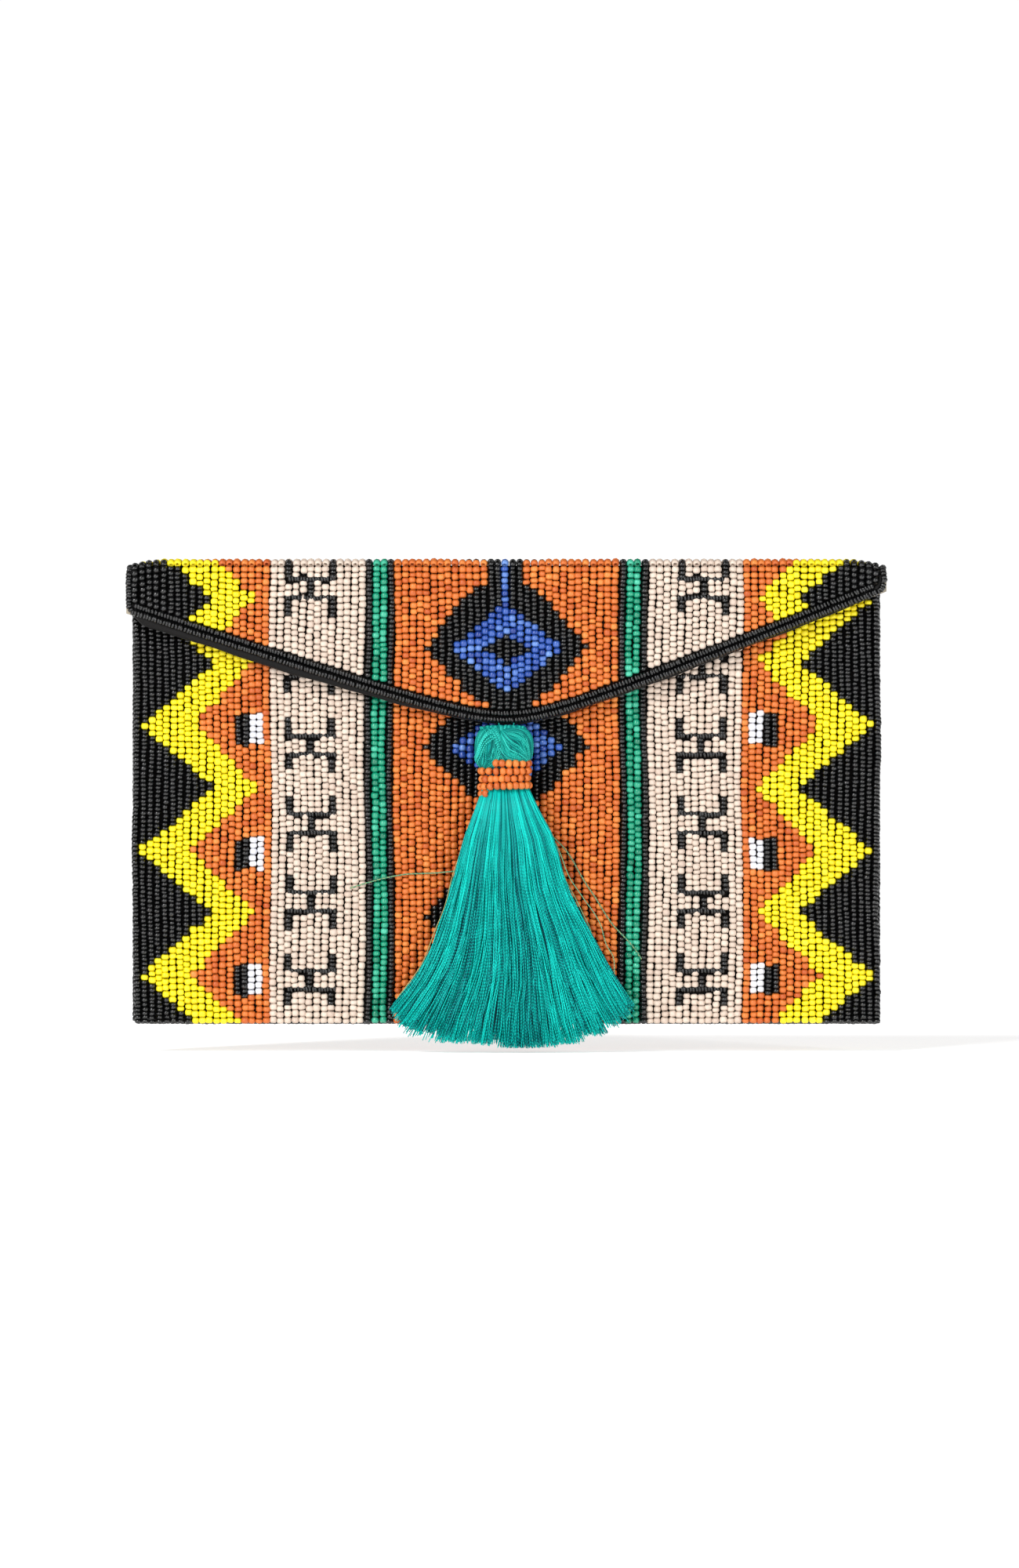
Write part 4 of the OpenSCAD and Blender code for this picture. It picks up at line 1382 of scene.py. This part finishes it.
    def _hem(self) -> None:
        """Makes the front's rounded hem: a flat loop of cloth over the board's top edge."""
        size = self.ground.size
        angle = np.linspace(0, np.pi, 9)
        over = np.stack([-10.9 + 0.95 * np.cos(angle), size.mouth + 0.15 + 0.95 * np.sin(angle)], -1)
        section = np.vstack([[-9.95, size.mouth - 2.5], over, [-11.85, size.mouth - 2.5]])
        x = np.linspace(-size.half_w + 2.4, size.half_w - 2.4, 90)
        shape = swept(section, x)
        shape.piece("front_hem", BASE_CLOTH, "purse", "base_cloth", ["front_hem"])

    def _pocket(self) -> None:
        """Makes the slip pocket on the back's lining: a patch that stands off a little at its hem."""
        low, high = box("slip_pocket")
        x = np.linspace(low[0], high[0], 40)
        z = np.linspace(low[2], high[2], 24)
        grid_x, grid_z = np.meshgrid(x, z)
        rise = smooth_step((grid_z - low[2]) / (high[2] - low[2]))
        rise = rise * np.clip(1 - (grid_x / high[0]) ** 6, 0, 1)
        points = np.stack([grid_x, high[1] - 0.25 - 0.35 * rise, grid_z], -1)
        self._sheet("slip_pocket", points, POCKET_SATIN, "purse", ["slip_pocket"])
        line = np.stack([x, points[-1, :, 1], np.full(len(x), high[2] - 0.2)], -1)
        hem = tubes(line[None], np.array(0.55), 8, np.array([0.5]))
        hem.piece("slip_pocket_hem", LINING_SATIN, "purse", "satin_lining")
        stitch = tubes(line[None] + [0, -0.45, -7.4], np.array(0.12), 5, np.array([0.6]))
        stitch.piece("slip_pocket_seam", SEAM_SILK, "purse", "satin_lining")

    def _folds(self) -> None:
        """Makes the cloth that turns through each fold line and the satin tucked into its inner corner."""
        size = self.ground.size
        x = np.linspace(-size.half_w + 1.6, size.half_w - 1.6, 60)
        for name, axis, side, bodies in (("back", size.back_axis, 1, ("purse", "spine")),
                                         ("front", size.front_axis, -1, ("spine", "flap"))):
            y, z = axis
            outer = [(y, z - 1.9), (y, z - 0.9), (y, z - 0.35), (y - side * 0.1, z - 0.1),
                     (y - side * 0.35, z), (y - side * 0.9, z), (y - side * 1.9, z)]
            inner = [(y - side * 1.35, z - 2.3), (y - side * 1.1, z - 1.6), (y - side * 0.7, z - 0.95),
                     (y - side * 0.95, z - 0.7), (y - side * 1.6, z - 1.1), (y - side * 2.3, z - 1.35)]
            cloth = self._strip(outer, x, side)
            satin = self._strip(inner, x[1:-1], side)
            for part, points, kind in (("cloth", cloth, FOLD_CLOTH), ("lining", satin, FOLD_SATIN)):
                nodes = [f"{name}_fold_cloth"] if part == "cloth" else []
                made = self._sheet(f"{name}_fold_{part}", points, kind, "", nodes)
                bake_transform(made)

    @staticmethod
    def _strip(section: list, x: Array, side: int) -> Array:
        """Returns a strip's grid: a section of (y, z) points drawn out along X."""
        line = np.array(section)
        across = np.broadcast_to(x, (len(line), len(x)))
        return np.stack([across, *(np.broadcast_to(line[:, k : k + 1], across.shape) for k in (0, 1))], -1)


@dataclass(frozen=True)
class Snap:
    """The magnetic snap and the boards, whose CAD shapes are shown as they are with real finishes."""

    height: float = 38.0
    bare_radius: float = 7.9

    def build(self) -> None:
        """Gives each metal and board node its finish."""
        finishes = {
            "snap_socket": NICKEL, "socket_washer": NICKEL, "snap_stud": NICKEL, "stud_washer": NICKEL,
            "snap_magnet": FERRITE, "back_stiffener": GREYBOARD, "front_stiffener": GREYBOARD,
            "flap_stiffener": GREYBOARD,
        }
        for node, finish in finishes.items():
            shown = frame["nodes"][node]
            shown.data.materials.clear()
            shown.data.materials.append(WARDROBE.get(finish))


# ---------------------------------------------------------------- tassel

@dataclass(frozen=True)
class Lobe:
    """One lobe of the tassel's folded hank: an oval core under strands that run from pole to pole."""

    centre: tuple[float, float, float]
    radii: tuple[float, float, float]
    pole: float
    strands: int
    start: float
    stop: float
    plump: tuple[float, float, float] = (0.64, 1.0, 0.8)

    def _around(self, polar: Array, azimuth: Array, grow: Array) -> Array:
        """Returns points of the oval, whose pole leans sideways in the XZ plane.

        A unit point (sin p cos a, sin p sin a, cos p) is turned about Y by the pole's angle, filled out
        towards a box by a power for each axis, stretched by the radii and moved to the centre.
        """
        x, y, z = np.sin(polar) * np.cos(azimuth), np.sin(polar) * np.sin(azimuth), np.cos(polar)
        lean = math.radians(self.pole)
        cos, sin = math.cos(lean), math.sin(lean)
        turned = np.stack([x * cos + z * sin, y, z * cos - x * sin], -1)
        turned = np.sign(turned) * np.abs(turned) ** np.array(self.plump)
        return np.array(self.centre) + turned * (np.array(self.radii) + grow[..., None])

    def core(self) -> Shape:
        """Returns the closed core below the strands."""
        polar = np.linspace(0.04, np.pi - 0.04, 14)[:, None]
        azimuth = (2 * np.pi * np.arange(20) / 20)[None]
        points = self._around(polar, azimuth, np.full((14, 20), -0.12))
        shape = loft(points)
        flat = np.zeros(len(shape.points))
        shape.values = {"shade": flat + 0.4, "along": flat}
        return shape

    def cover(self, rng: np.random.Generator) -> Shape:
        """Returns the strands over the core, in two layers that wander a little."""
        azimuth = (np.arange(self.strands) + 2.5 * rng.random(self.strands)) * 2 * np.pi / self.strands
        share = np.linspace(0, 1, 16)[None]
        polar = np.radians(self.start + (self.stop - self.start) * share)
        polar = polar * (1 + 0.03 * rng.standard_normal((self.strands, 1)))
        wander = 0.1 * np.sin(share * 5 + 6.3 * rng.random((self.strands, 1)))
        grow = np.broadcast_to(0.3 * rng.random((self.strands, 1)), polar.shape)
        paths = self._around(polar, azimuth[:, None] + wander, grow)
        radius = 0.15 + 0.05 * rng.random((self.strands, 1))
        shade = np.clip(0.5 + 0.24 * rng.standard_normal(self.strands), 0, 1)
        return tubes(paths, radius, 4, shade, (0.3, 0.9, 0.2))

    def wrap(self, rng: np.random.Generator, count: int, lean: float, low: float, high: float) -> Shape:
        """Returns threads wound round the lobe, square to an axis that leans in the XZ plane."""
        other = Lobe(self.centre, self.radii, lean, count, self.start, self.stop, self.plump)
        polar = np.radians(np.linspace(low, high, count) + 1.5 * rng.standard_normal(count))[:, None]
        azimuth = np.linspace(0, 2 * np.pi, 30)[None]
        tilt = 0.06 * np.sin(azimuth + 6.3 * rng.random((count, 1)))
        paths = other._around(polar + tilt, azimuth + 0 * polar, np.full((count, 30), 0.5))
        shade = np.clip(0.6 + 0.2 * rng.standard_normal(count), 0, 1)
        return tubes(paths, np.array(0.22), 5, shade, (0.2, 0.3, 0.9))


@dataclass(frozen=True)
class Tassel:
    """The silk tassel: a loop, a two-lobed head, a collar of beads and a flared skirt of cut threads."""

    size: Measures
    middle_y: float = -20.1
    strands: int = 2000
    clumps: int = 75
    strand_r: float = 0.25
    hem_low: float = -85.9
    hem_left: float = 12.0
    hem_right: float = 14.5
    clump_reach: float = 0.1
    clump_pull: float = 0.6
    clump_veer: float = 0.045
    strand_veer: float = 0.035
    slices: tuple = ((2.0, -7.6, 7.0, 3.4), (-0.5, -8.2, 7.6, 3.7), (-6, -10.3, 10.6, 4.3),
                     (-16.5, -14.2, 16.0, 4.8), (-31.9, -18.3, 20.4, 4.9), (-47, -23.0, 27.6, 4.9),
                     (-58.5, -27.9, 33.4, 4.9), (-66.2, -32.6, 37.9, 4.8), (-74.0, -38.6, 43.0, 4.6),
                     (-86.0, -47.5, 52.0, 4.0))
    edge_routes: tuple = (
        ((16.5, -17), (19.7, -24.7), (22.3, -30.6), (26, -35.9), (29.2, -40.1), (31.9, -45.4), (34, -51.8),
         (36.1, -56.1), (36.7, -61.9)),
        ((16, -20), (19.4, -28), (23.6, -36.8), (27.6, -44.4), (29.8, -51.3), (33.2, -57.5)),
    )
    head: tuple[Lobe, ...] = (
        Lobe((-5.7, -20.1, 14.5), (4.7, 4.3, 6.8), 16, 240, 8, 168),
        Lobe((2.7, -20.3, 15.4), (6.1, 4.6, 6.0), -38, 340, 8, 168),
    )
    loop_half: float = 7.6
    loop_radius: float = 1.6
    collar_half: tuple[float, float] = (8.0, 4.0)
    collar_low: float = -0.7
    collar_step: float = 2.62
    collar_turns: tuple[float, float] = (0.37, 4.35)
    seed: int = 700

    def _fan(self, z: Array) -> tuple[Array, Array, Array]:
        """Returns the skirt's left and right reach and half depth at a height, by a spline through slices."""
        knots = np.array(self.slices)[::-1]
        fine = curve(knots, 90)
        return tuple(np.interp(z, fine[:, 0], fine[:, k]) for k in (1, 2, 3))

    def build(self) -> None:
        """Makes every piece of the tassel."""
        rng = np.random.default_rng(self.seed)
        self._skirt(rng)
        self._skirt_core()
        self._edge_threads(rng)
        cover = join([lobe.cover(rng) for lobe in self.head])
        cover = join([cover, self.head[0].wrap(rng, 14, 60, 38, 74), self.head[0].wrap(rng, 6, -50, 58, 80)])
        cover.piece("tassel_head", HEAD_SILK, "tassel", "tassel_silk", ["tassel_head"])
        core = join([lobe.core() for lobe in self.head])
        core.piece("tassel_head_core", TASSEL_SILK, "tassel", "tassel_silk")
        self._collar()
        self._knot()

    def _skirt(self, rng: np.random.Generator) -> None:
        """Makes the skirt's strands, gathered in clumps that draw together and wave more towards the hem.

        A strand keeps its place u across and v through the skirt: x = middle + u * half width (z) and
        y = middle + v * half depth (z) * sqrt(1 - 0.8 u^2). Its u drifts a little on the way down, and its
        clump pulls it in and waves it.
        """
        count, steps = self.strands, 12
        u = np.clip(rng.uniform(-1, 1, count) * 0.98 + 0.04 * rng.standard_normal(count), -1, 1)
        v = rng.uniform(-1, 1, count)
        v = np.where(rng.random(count) < 0.35, -1, np.sign(v)) * np.abs(v) ** 0.55
        clump_u = rng.uniform(-1, 1, self.clumps)
        clump = np.abs(u[:, None] + 0.03 * rng.standard_normal((count, 1)) - clump_u[None]).argmin(1)
        side = np.where(u < 0, self.hem_left, self.hem_right)
        hem = self.hem_low + side * np.abs(u) ** 2.4 + 0.9 * np.abs(rng.standard_normal(count)) ** 1.4
        hem = hem + 1.0 * np.sin(clump * 1.9)
        top = 1.5 + 0.5 * rng.random(count)
        share = np.linspace(0, 1, steps)[None] ** 0.9
        z = top[:, None] + (hem - top)[:, None] * share
        left, right, depth = self._fan(z)
        near = np.clip(1 - np.abs(u - clump_u[clump]) / self.clump_reach, 0, 1)
        pull = self.clump_pull * near[:, None] * smooth_step(share * 1.6 - 0.15)
        veer = self.clump_veer * rng.standard_normal(self.clumps)[clump]
        veer = veer + self.strand_veer * rng.standard_normal(count)
        drift = veer[:, None] * share * (1 - np.abs(u[:, None]) ** 6)
        place = np.clip(1.02 * (u[:, None] + (clump_u[clump] - u)[:, None] * pull + drift), -1.03, 1.03)
        x = (left + right) / 2 + place * (right - left) / 2
        own = 6.3 * rng.random((count, 1))
        wave = np.sin(share * 6 + clump[:, None] * 2.1) * 0.7 + np.sin(share * 13 + own) * 0.5
        frizz = 0.2 * np.sin(share * 31 + own * 3) * smooth_step(share * 1.5 - 0.4)
        x = x + (wave + frizz) * share
        y = self.middle_y + v[:, None] * (depth - 0.3) * np.sqrt(1 - 0.8 * u[:, None] ** 2)
        lift = (1.5 * rng.random(self.clumps) - 0.9)[clump]
        y = y - lift[:, None] * smooth_step(share * 1.6) * (v[:, None] < 0)
        y = y + 0.3 * share * np.sin(share * 8 + own)
        shade = np.clip(0.54 + 0.18 * np.sin(clump * 12.9) + 0.16 * rng.standard_normal(count), 0, 1)
        radius = self.strand_r * (1 - 0.25 * share)
        made = tubes(np.stack([x, y, z], -1), radius, 3, shade)
        made.piece("tassel_skirt", TASSEL_SILK, "tassel", "tassel_silk", ["tassel_skirt"])

    def _skirt_core(self) -> None:
        """Makes the thickness inside the skirt: ovals within its strands that stop above its hem, coloured dark
        as painted shade between the strands.
        """
        angle = 2 * np.pi * np.arange(40) / 40
        side = np.where(np.cos(angle) < 0, self.hem_left, self.hem_right)
        low = self.hem_low + 5 + side * np.abs(np.cos(angle) * 0.86) ** 2.4
        z = 1.0 + (low - 1.0)[None] * np.linspace(0, 1, 26)[:, None]
        left, right, depth = self._fan(z)
        x = (left + right) / 2 + 0.84 * (right - left) / 2 * np.cos(angle)
        y = self.middle_y + 0.6 * depth * np.sin(angle)
        shape = loft(np.stack([x, y, z], -1))
        flat = np.zeros(len(shape.points))
        # A low shade on the dark silk: painted shade where the gaps between clumps open.
        shape.values = {"shade": flat + 0.35, "along": flat}
        shape.piece("tassel_skirt_core", SHADE_PAINTED_SILK, "tassel", "tassel_silk")

    def _edge_threads(self, rng: np.random.Generator) -> None:
        """Makes the odd threads of green and gold along the skirt's two edges."""
        z = np.linspace(-17, -72, 40)
        left = self._fan(z)[0]
        found = []
        for k in range(2):
            bow = 0.3 * np.sin(np.linspace(0, np.pi, 40)) * (k + 0.4)
            x = left + 0.2 - bow + 0.25 * np.sin(z / 3.1 + 2 * k)
            found.append(np.stack([x, 0 * z + 0.6 * k, z + 2 * k], -1))
        for k, route in enumerate(self.edge_routes):
            line = curve([(x, 0.6 * k, height) for x, height in route], 40)
            line[:, 0] += 0.15 * np.sin(line[:, 2] / 1.9 + 2 * k)
            found.append(line)
        paths = np.array(found) + [0, self.middle_y - 1.0, 0]
        made = tubes(paths, np.array(0.17), 5, np.clip(0.7 + 0.25 * rng.standard_normal(len(found)), 0, 1))
        made.piece("tassel_edge_threads", LOOSE_SILK, "tassel", "tassel_silk")

    def _collar(self) -> None:
        """Makes the collar: one string of orange beads in flat rounds, which climbs a row at the back.

        At turn t the string stands at (a cos 2 pi t, middle - b sin 2 pi t), in row floor(t) until it rises.
        """
        t = np.linspace(*self.collar_turns, 900)
        angle = 2 * np.pi * t
        a, b = self.collar_half
        row = np.floor(t) + smooth_step((t - np.floor(t) - 0.55) / 0.4)
        sag = 0.25 * np.sin(angle + row)
        wide = 1 + 0.03 * np.sin(row * 2.2)
        line = np.stack([a * wide * np.cos(angle) - 0.5, self.middle_y - b * np.sin(angle),
                         self.collar_low + self.collar_step * row + sag], -1)
        facing = np.stack([np.cos(angle) / a, -np.sin(angle) / b, np.zeros(len(t))], -1)
        beads = string(line, unit(facing), 2.2, 0.96, 1.3, self.seed + 1)
        shape = beads.shape(BALL_BEAD, self.seed + 2, 0.09, 12)
        shape.piece("tassel_collar", BEAD_GLASS[Tone.ORANGE], "tassel", Tone.ORANGE.slot, ["tassel_collar"])
        z = np.linspace(self.collar_low - 1.2, self.collar_low + 4 * self.collar_step + 1.0, 8)
        round_angle = 2 * np.pi * np.arange(28) / 28
        across, through = (a - 1.0) * np.cos(round_angle) - 0.5, (b - 1.0) * np.sin(round_angle)
        shelf = np.ones((len(z), len(round_angle)))
        rings = np.stack([across * shelf, (self.middle_y + through) * shelf, z[:, None] * shelf], -1)
        core = loft(rings)
        # The neck is the dark silk at a low shade: painted shade between the collar's beads.
        core.values = {"shade": np.full(len(core.points), 0.2), "along": core.points[:, 2] * MM}
        core.piece("tassel_neck", SHADE_PAINTED_SILK, "tassel", "tassel_silk")

    def _knot(self) -> None:
        """Makes the stitching under the flap's point and the loop that turns on it."""
        x0, y0, z0 = self.size.knot
        t = np.linspace(-1, 1, 24)
        bar = [np.stack([2.6 * t, np.full(24, y0 + k * 0.25), z0 + 2.4 * np.abs(t) ** 4 + k * 0.1], -1)
               for k in (-1, 0, 1)]
        stitch = tubes(np.array(bar), np.array(0.17), 6, np.array([0.3, 0.5, 0.7]))
        stitch.piece("tassel_stitch", HEAD_SILK, "flap", "tassel_silk", ["tassel_stitch"])
        turn = 2 * np.pi * np.linspace(0, 1, 26)
        place = np.linspace(-1, 1, 42)
        wide = self.loop_radius * (1 - 0.35 * place**4 + 0.05 * np.sin(place * 23))
        rings = [np.stack([x0 + self.loop_half * k - 0.9 + 0.3 * np.sin(turn + 9 * k), y0 + r * np.cos(turn),
                           z0 + r * np.sin(turn)], -1) for k, r in zip(place, wide)]
        shade = 0.5 + 0.3 * np.sin(place * 31)
        loop = tubes(np.array(rings), np.array(0.24), 5, shade, (1, 0, 0))
        loop.piece("tassel_loop", HEAD_SILK, "loop", "tassel_silk", ["tassel_loop"])


@dataclass(frozen=True)
class LooseThreads:
    """Two stray threads that have come out of the skirt and lie across the beaded front."""

    size: Measures
    diameter: float = 0.55
    clear: float = 0.4
    twist: float = 1.6
    roots: tuple = (((-12.0, 5.8, -25.0), (-16.5, 4.4, -26.6)), ((10.0, 6.0, -10.5), (14.0, 4.6, -13.6)))
    left: tuple = (
        (-20.4, 2.8, -27.2), (-21.8, 2.0, -27.3), (-23.5, 1.2, -27.5), (-25.5, 0.5, -27.6), (-28, 0.1, -27.7),
        (-30.5, 0, -27.8), (-33, 0, -27.9), (-35.5, 0, -28.2), (-38, 0, -28.6), (-40.5, 0, -29.1),
        (-43, 0, -29.7), (-45.5, 0, -30.4), (-48, 0, -31.1), (-50.5, 0, -31.9), (-53, 0, -32.7),
    )
    right: tuple = (
        (17.6, 2.8, -17), (19, 2.0, -18.4), (20.6, 1.2, -20.4), (22.3, 0.5, -22.9), (24, 0.1, -26),
        (25.8, 0, -29.2), (27.8, 0, -32.4), (30, 0, -35.6), (32, 0, -38.9), (34, 0, -42.1),
        (36.2, 0, -45.2), (38.8, 0, -48), (41.4, 0, -50.7), (43.8, 0, -53.6), (45.9, 0, -56.8),
    )

    def build(self) -> None:
        """Makes both threads."""
        lay_y = self.size.front_y - self.diameter / 2 - self.clear
        roots = []
        for name, knots, root in (("stray_thread_left", self.left, self.roots[0]),
                                  ("stray_thread_right", self.right, self.roots[1])):
            lead = np.array([(x, lay_y - lift, z) for x, lift, z in (*root, knots[0])], float)
            roots.append(self._plied(curve(lead, 30)))
            route = np.array([(x, lay_y - lift, z) for x, lift, z in knots], float)
            line = curve(route, 160)
            shape = self._plied(line)
            made = shape.piece(name, LOOSE_SILK, "tassel", "tassel_silk", [name])
            self.diameter * MM
            [tuple(p) for p in line * MM]
        join(roots).piece("stray_thread_roots", LOOSE_SILK, "tassel", "tassel_silk")

    def _plied(self, line: Array) -> Shape:
        """Returns two plies wound about a line, each a quarter of the diameter off it and turning evenly."""
        run = unit(np.gradient(line, axis=0))
        side = unit(np.cross(run, [0, 1, 0]))
        up = np.cross(run, side)
        length = np.concatenate([[0], np.cumsum(np.linalg.norm(np.diff(line, axis=0), axis=1))])
        turn = 2 * np.pi * length / self.twist
        plies = []
        for phase in (0, np.pi):
            angle = (turn + phase)[:, None]
            plies.append(line + self.diameter / 4 * (np.cos(angle) * side + np.sin(angle) * up))
        return tubes(np.array(plies), np.array(self.diameter / 4), 6, np.array([0.35, 0.75]))


# ---------------------------------------------------------------- studio

@dataclass(frozen=True)
class Studio:
    """The camera, the pale floor that the purse stands on, and the soft lights."""

    aim: tuple[float, float] = (1.06, 2.66)
    view_height: float = 531.4
    distance: float = 2200.0
    sensor: float = 36.0
    front_y: float = -19.5
    floor_z: float = -88.5
    floor_half: float = 60000.0
    floor_glow: float = 0.62
    ambient: float = 0.24

    def camera(self) -> None:
        """Makes the camera, level and square to the front."""
        data = bpy.data.cameras.new("camera")
        data.sensor_width = self.sensor
        data.lens = self.sensor * self.distance / self.view_height
        data.clip_start, data.clip_end = 0.05, 200
        made = bpy.data.objects.new("camera", data)
        made.location = (self.aim[0] * MM, (self.front_y - self.distance) * MM, self.aim[1] * MM)
        made.rotation_euler = (math.pi / 2, 0, 0)
        bpy.context.scene.collection.objects.link(made)
        bpy.context.scene.camera = made

    def build(self) -> None:
        """Makes the floor, the lights and the plain white surroundings."""
        bpy.context.scene.view_settings.view_transform = "Standard"
        self._surroundings()
        self._floor()
        self._sun("key", (-0.5, -0.75, 0.8), 1.6, 14)
        self._sun("fill", (0.8, -0.9, 0.25), 0.4, 30)
        self._panel("strip_left", (-1.0, -1.25, 0.35), 0.22, 1.2, 14.0)
        self._panel("strip_right", (0.95, -1.3, 0.2), 0.18, 1.2, 9.0)

    def _surroundings(self) -> None:
        """Makes a world that is white to look at and dimmer as light, so that glossy black stays black."""
        world = bpy.data.worlds.new("surroundings")
        world.use_nodes = True
        tree = world.node_tree
        path, strength = tree.nodes.new("ShaderNodeLightPath"), tree.nodes.new("ShaderNodeMapRange")
        strength.inputs["To Min"].default_value, strength.inputs["To Max"].default_value = self.ambient, 1.02
        tree.links.new(path.outputs["Is Camera Ray"], strength.inputs["Value"])
        background = tree.nodes["Background"]
        background.inputs["Color"].default_value = (1, 1, 1, 1)
        tree.links.new(strength.outputs["Result"], background.inputs["Strength"])
        bpy.context.scene.world = world

    def _floor(self) -> None:
        """Makes a wide pale floor that glows a little, so that it stays white under a faint shadow."""
        graph = Graph("paper")
        fibre = graph.noise(300, 3.0)
        colour = graph.mix(fibre, (0.9, 0.9, 0.9, 1), (0.95, 0.95, 0.95, 1))
        glow = {"Roughness": 0.9, "Specular IOR Level": 0.0, "Emission Color": (1, 1, 1, 1),
                "Emission Strength": self.floor_glow}
        graph.surface(glow, {"Base Color": colour})
        half, z = self.floor_half * MM, self.floor_z * MM
        mesh = bpy.data.meshes.new("floor")
        corners = [(-half, -half, z), (half, -half, z), (half, half, z), (-half, half, z)]
        mesh.from_pydata(corners, [], [(0, 1, 2, 3)])
        mesh.materials.append(graph.material)
        made = bpy.data.objects.new("floor", mesh)
        bpy.context.scene.collection.objects.link(made)

    @staticmethod
    def _aimed(name: str, data: bpy.types.Light, place: Point) -> None:
        """Stands a light at a place, turned towards the purse."""
        made = bpy.data.objects.new(name, data)
        made.location = place
        away = np.array(place)
        tip = math.acos(away[2] / np.linalg.norm(away))
        made.rotation_euler = (tip, 0, math.atan2(away[1], away[0]) + math.pi / 2)
        bpy.context.scene.collection.objects.link(made)

    def _sun(self, name: str, place: Point, strength: float, spread: float) -> None:
        """Makes a soft even light from one direction, as wide as a spread in degrees."""
        data = bpy.data.lights.new(name, "SUN")
        data.energy, data.angle = strength, math.radians(spread)
        self._aimed(name, data, place)

    def _panel(self, name: str, place: Point, width: float, height: float, power: float) -> None:
        """Makes a soft rectangular light, whose reflection is a bead's bright streak."""
        data = bpy.data.lights.new(name, "AREA")
        data.shape = "RECTANGLE"
        data.size, data.size_y, data.energy = width, height, power
        self._aimed(name, data, place)


# ---------------------------------------------------------------- the whole purse


def main() -> None:
    """Dresses the purse: camera and loose threads first, then beads, cloth, snap and tassel."""
    logging.basicConfig(level=logging.INFO, format="%(name)s %(message)s")
    size = Measures.read()
    ground = Ground(size, Pattern())
    studio = Studio()
    studio.camera()
    LooseThreads(size).build()
    edge = FlapEdge(ground)
    back_y, front_y, flap_y = -size.bead / 2, size.front_y + size.bead / 2, size.flap_y + size.bead / 2
    level = size.back_axis[1]

    def bottom(x: Array) -> Array:
        """Returns the bottom edge at every x."""
        return np.full(np.shape(x), size.bottom + 0.2)

    linings = Linings(ground, edge)
    BeadedFace(ground, Face.BACK, "purse", back_y, 1.0, 0.0, bottom, level, seed=100).build()
    BeadedFace(ground, Face.FRONT, "purse", front_y, -1.0, linings.front_crown, bottom, size.mouth,
               seed=200).build()
    BeadedFace(ground, Face.FLAP, "flap", flap_y, -1.0, 1.0, edge.field_low, level, seed=300,
               round_from=46.5).build()
    TopRoll(ground).build()
    Edges(ground).build()
    edge.build()
    linings.build()
    Snap().build()
    Tassel(size).build()
    studio.build()


if __name__ == "__main__":
    main()
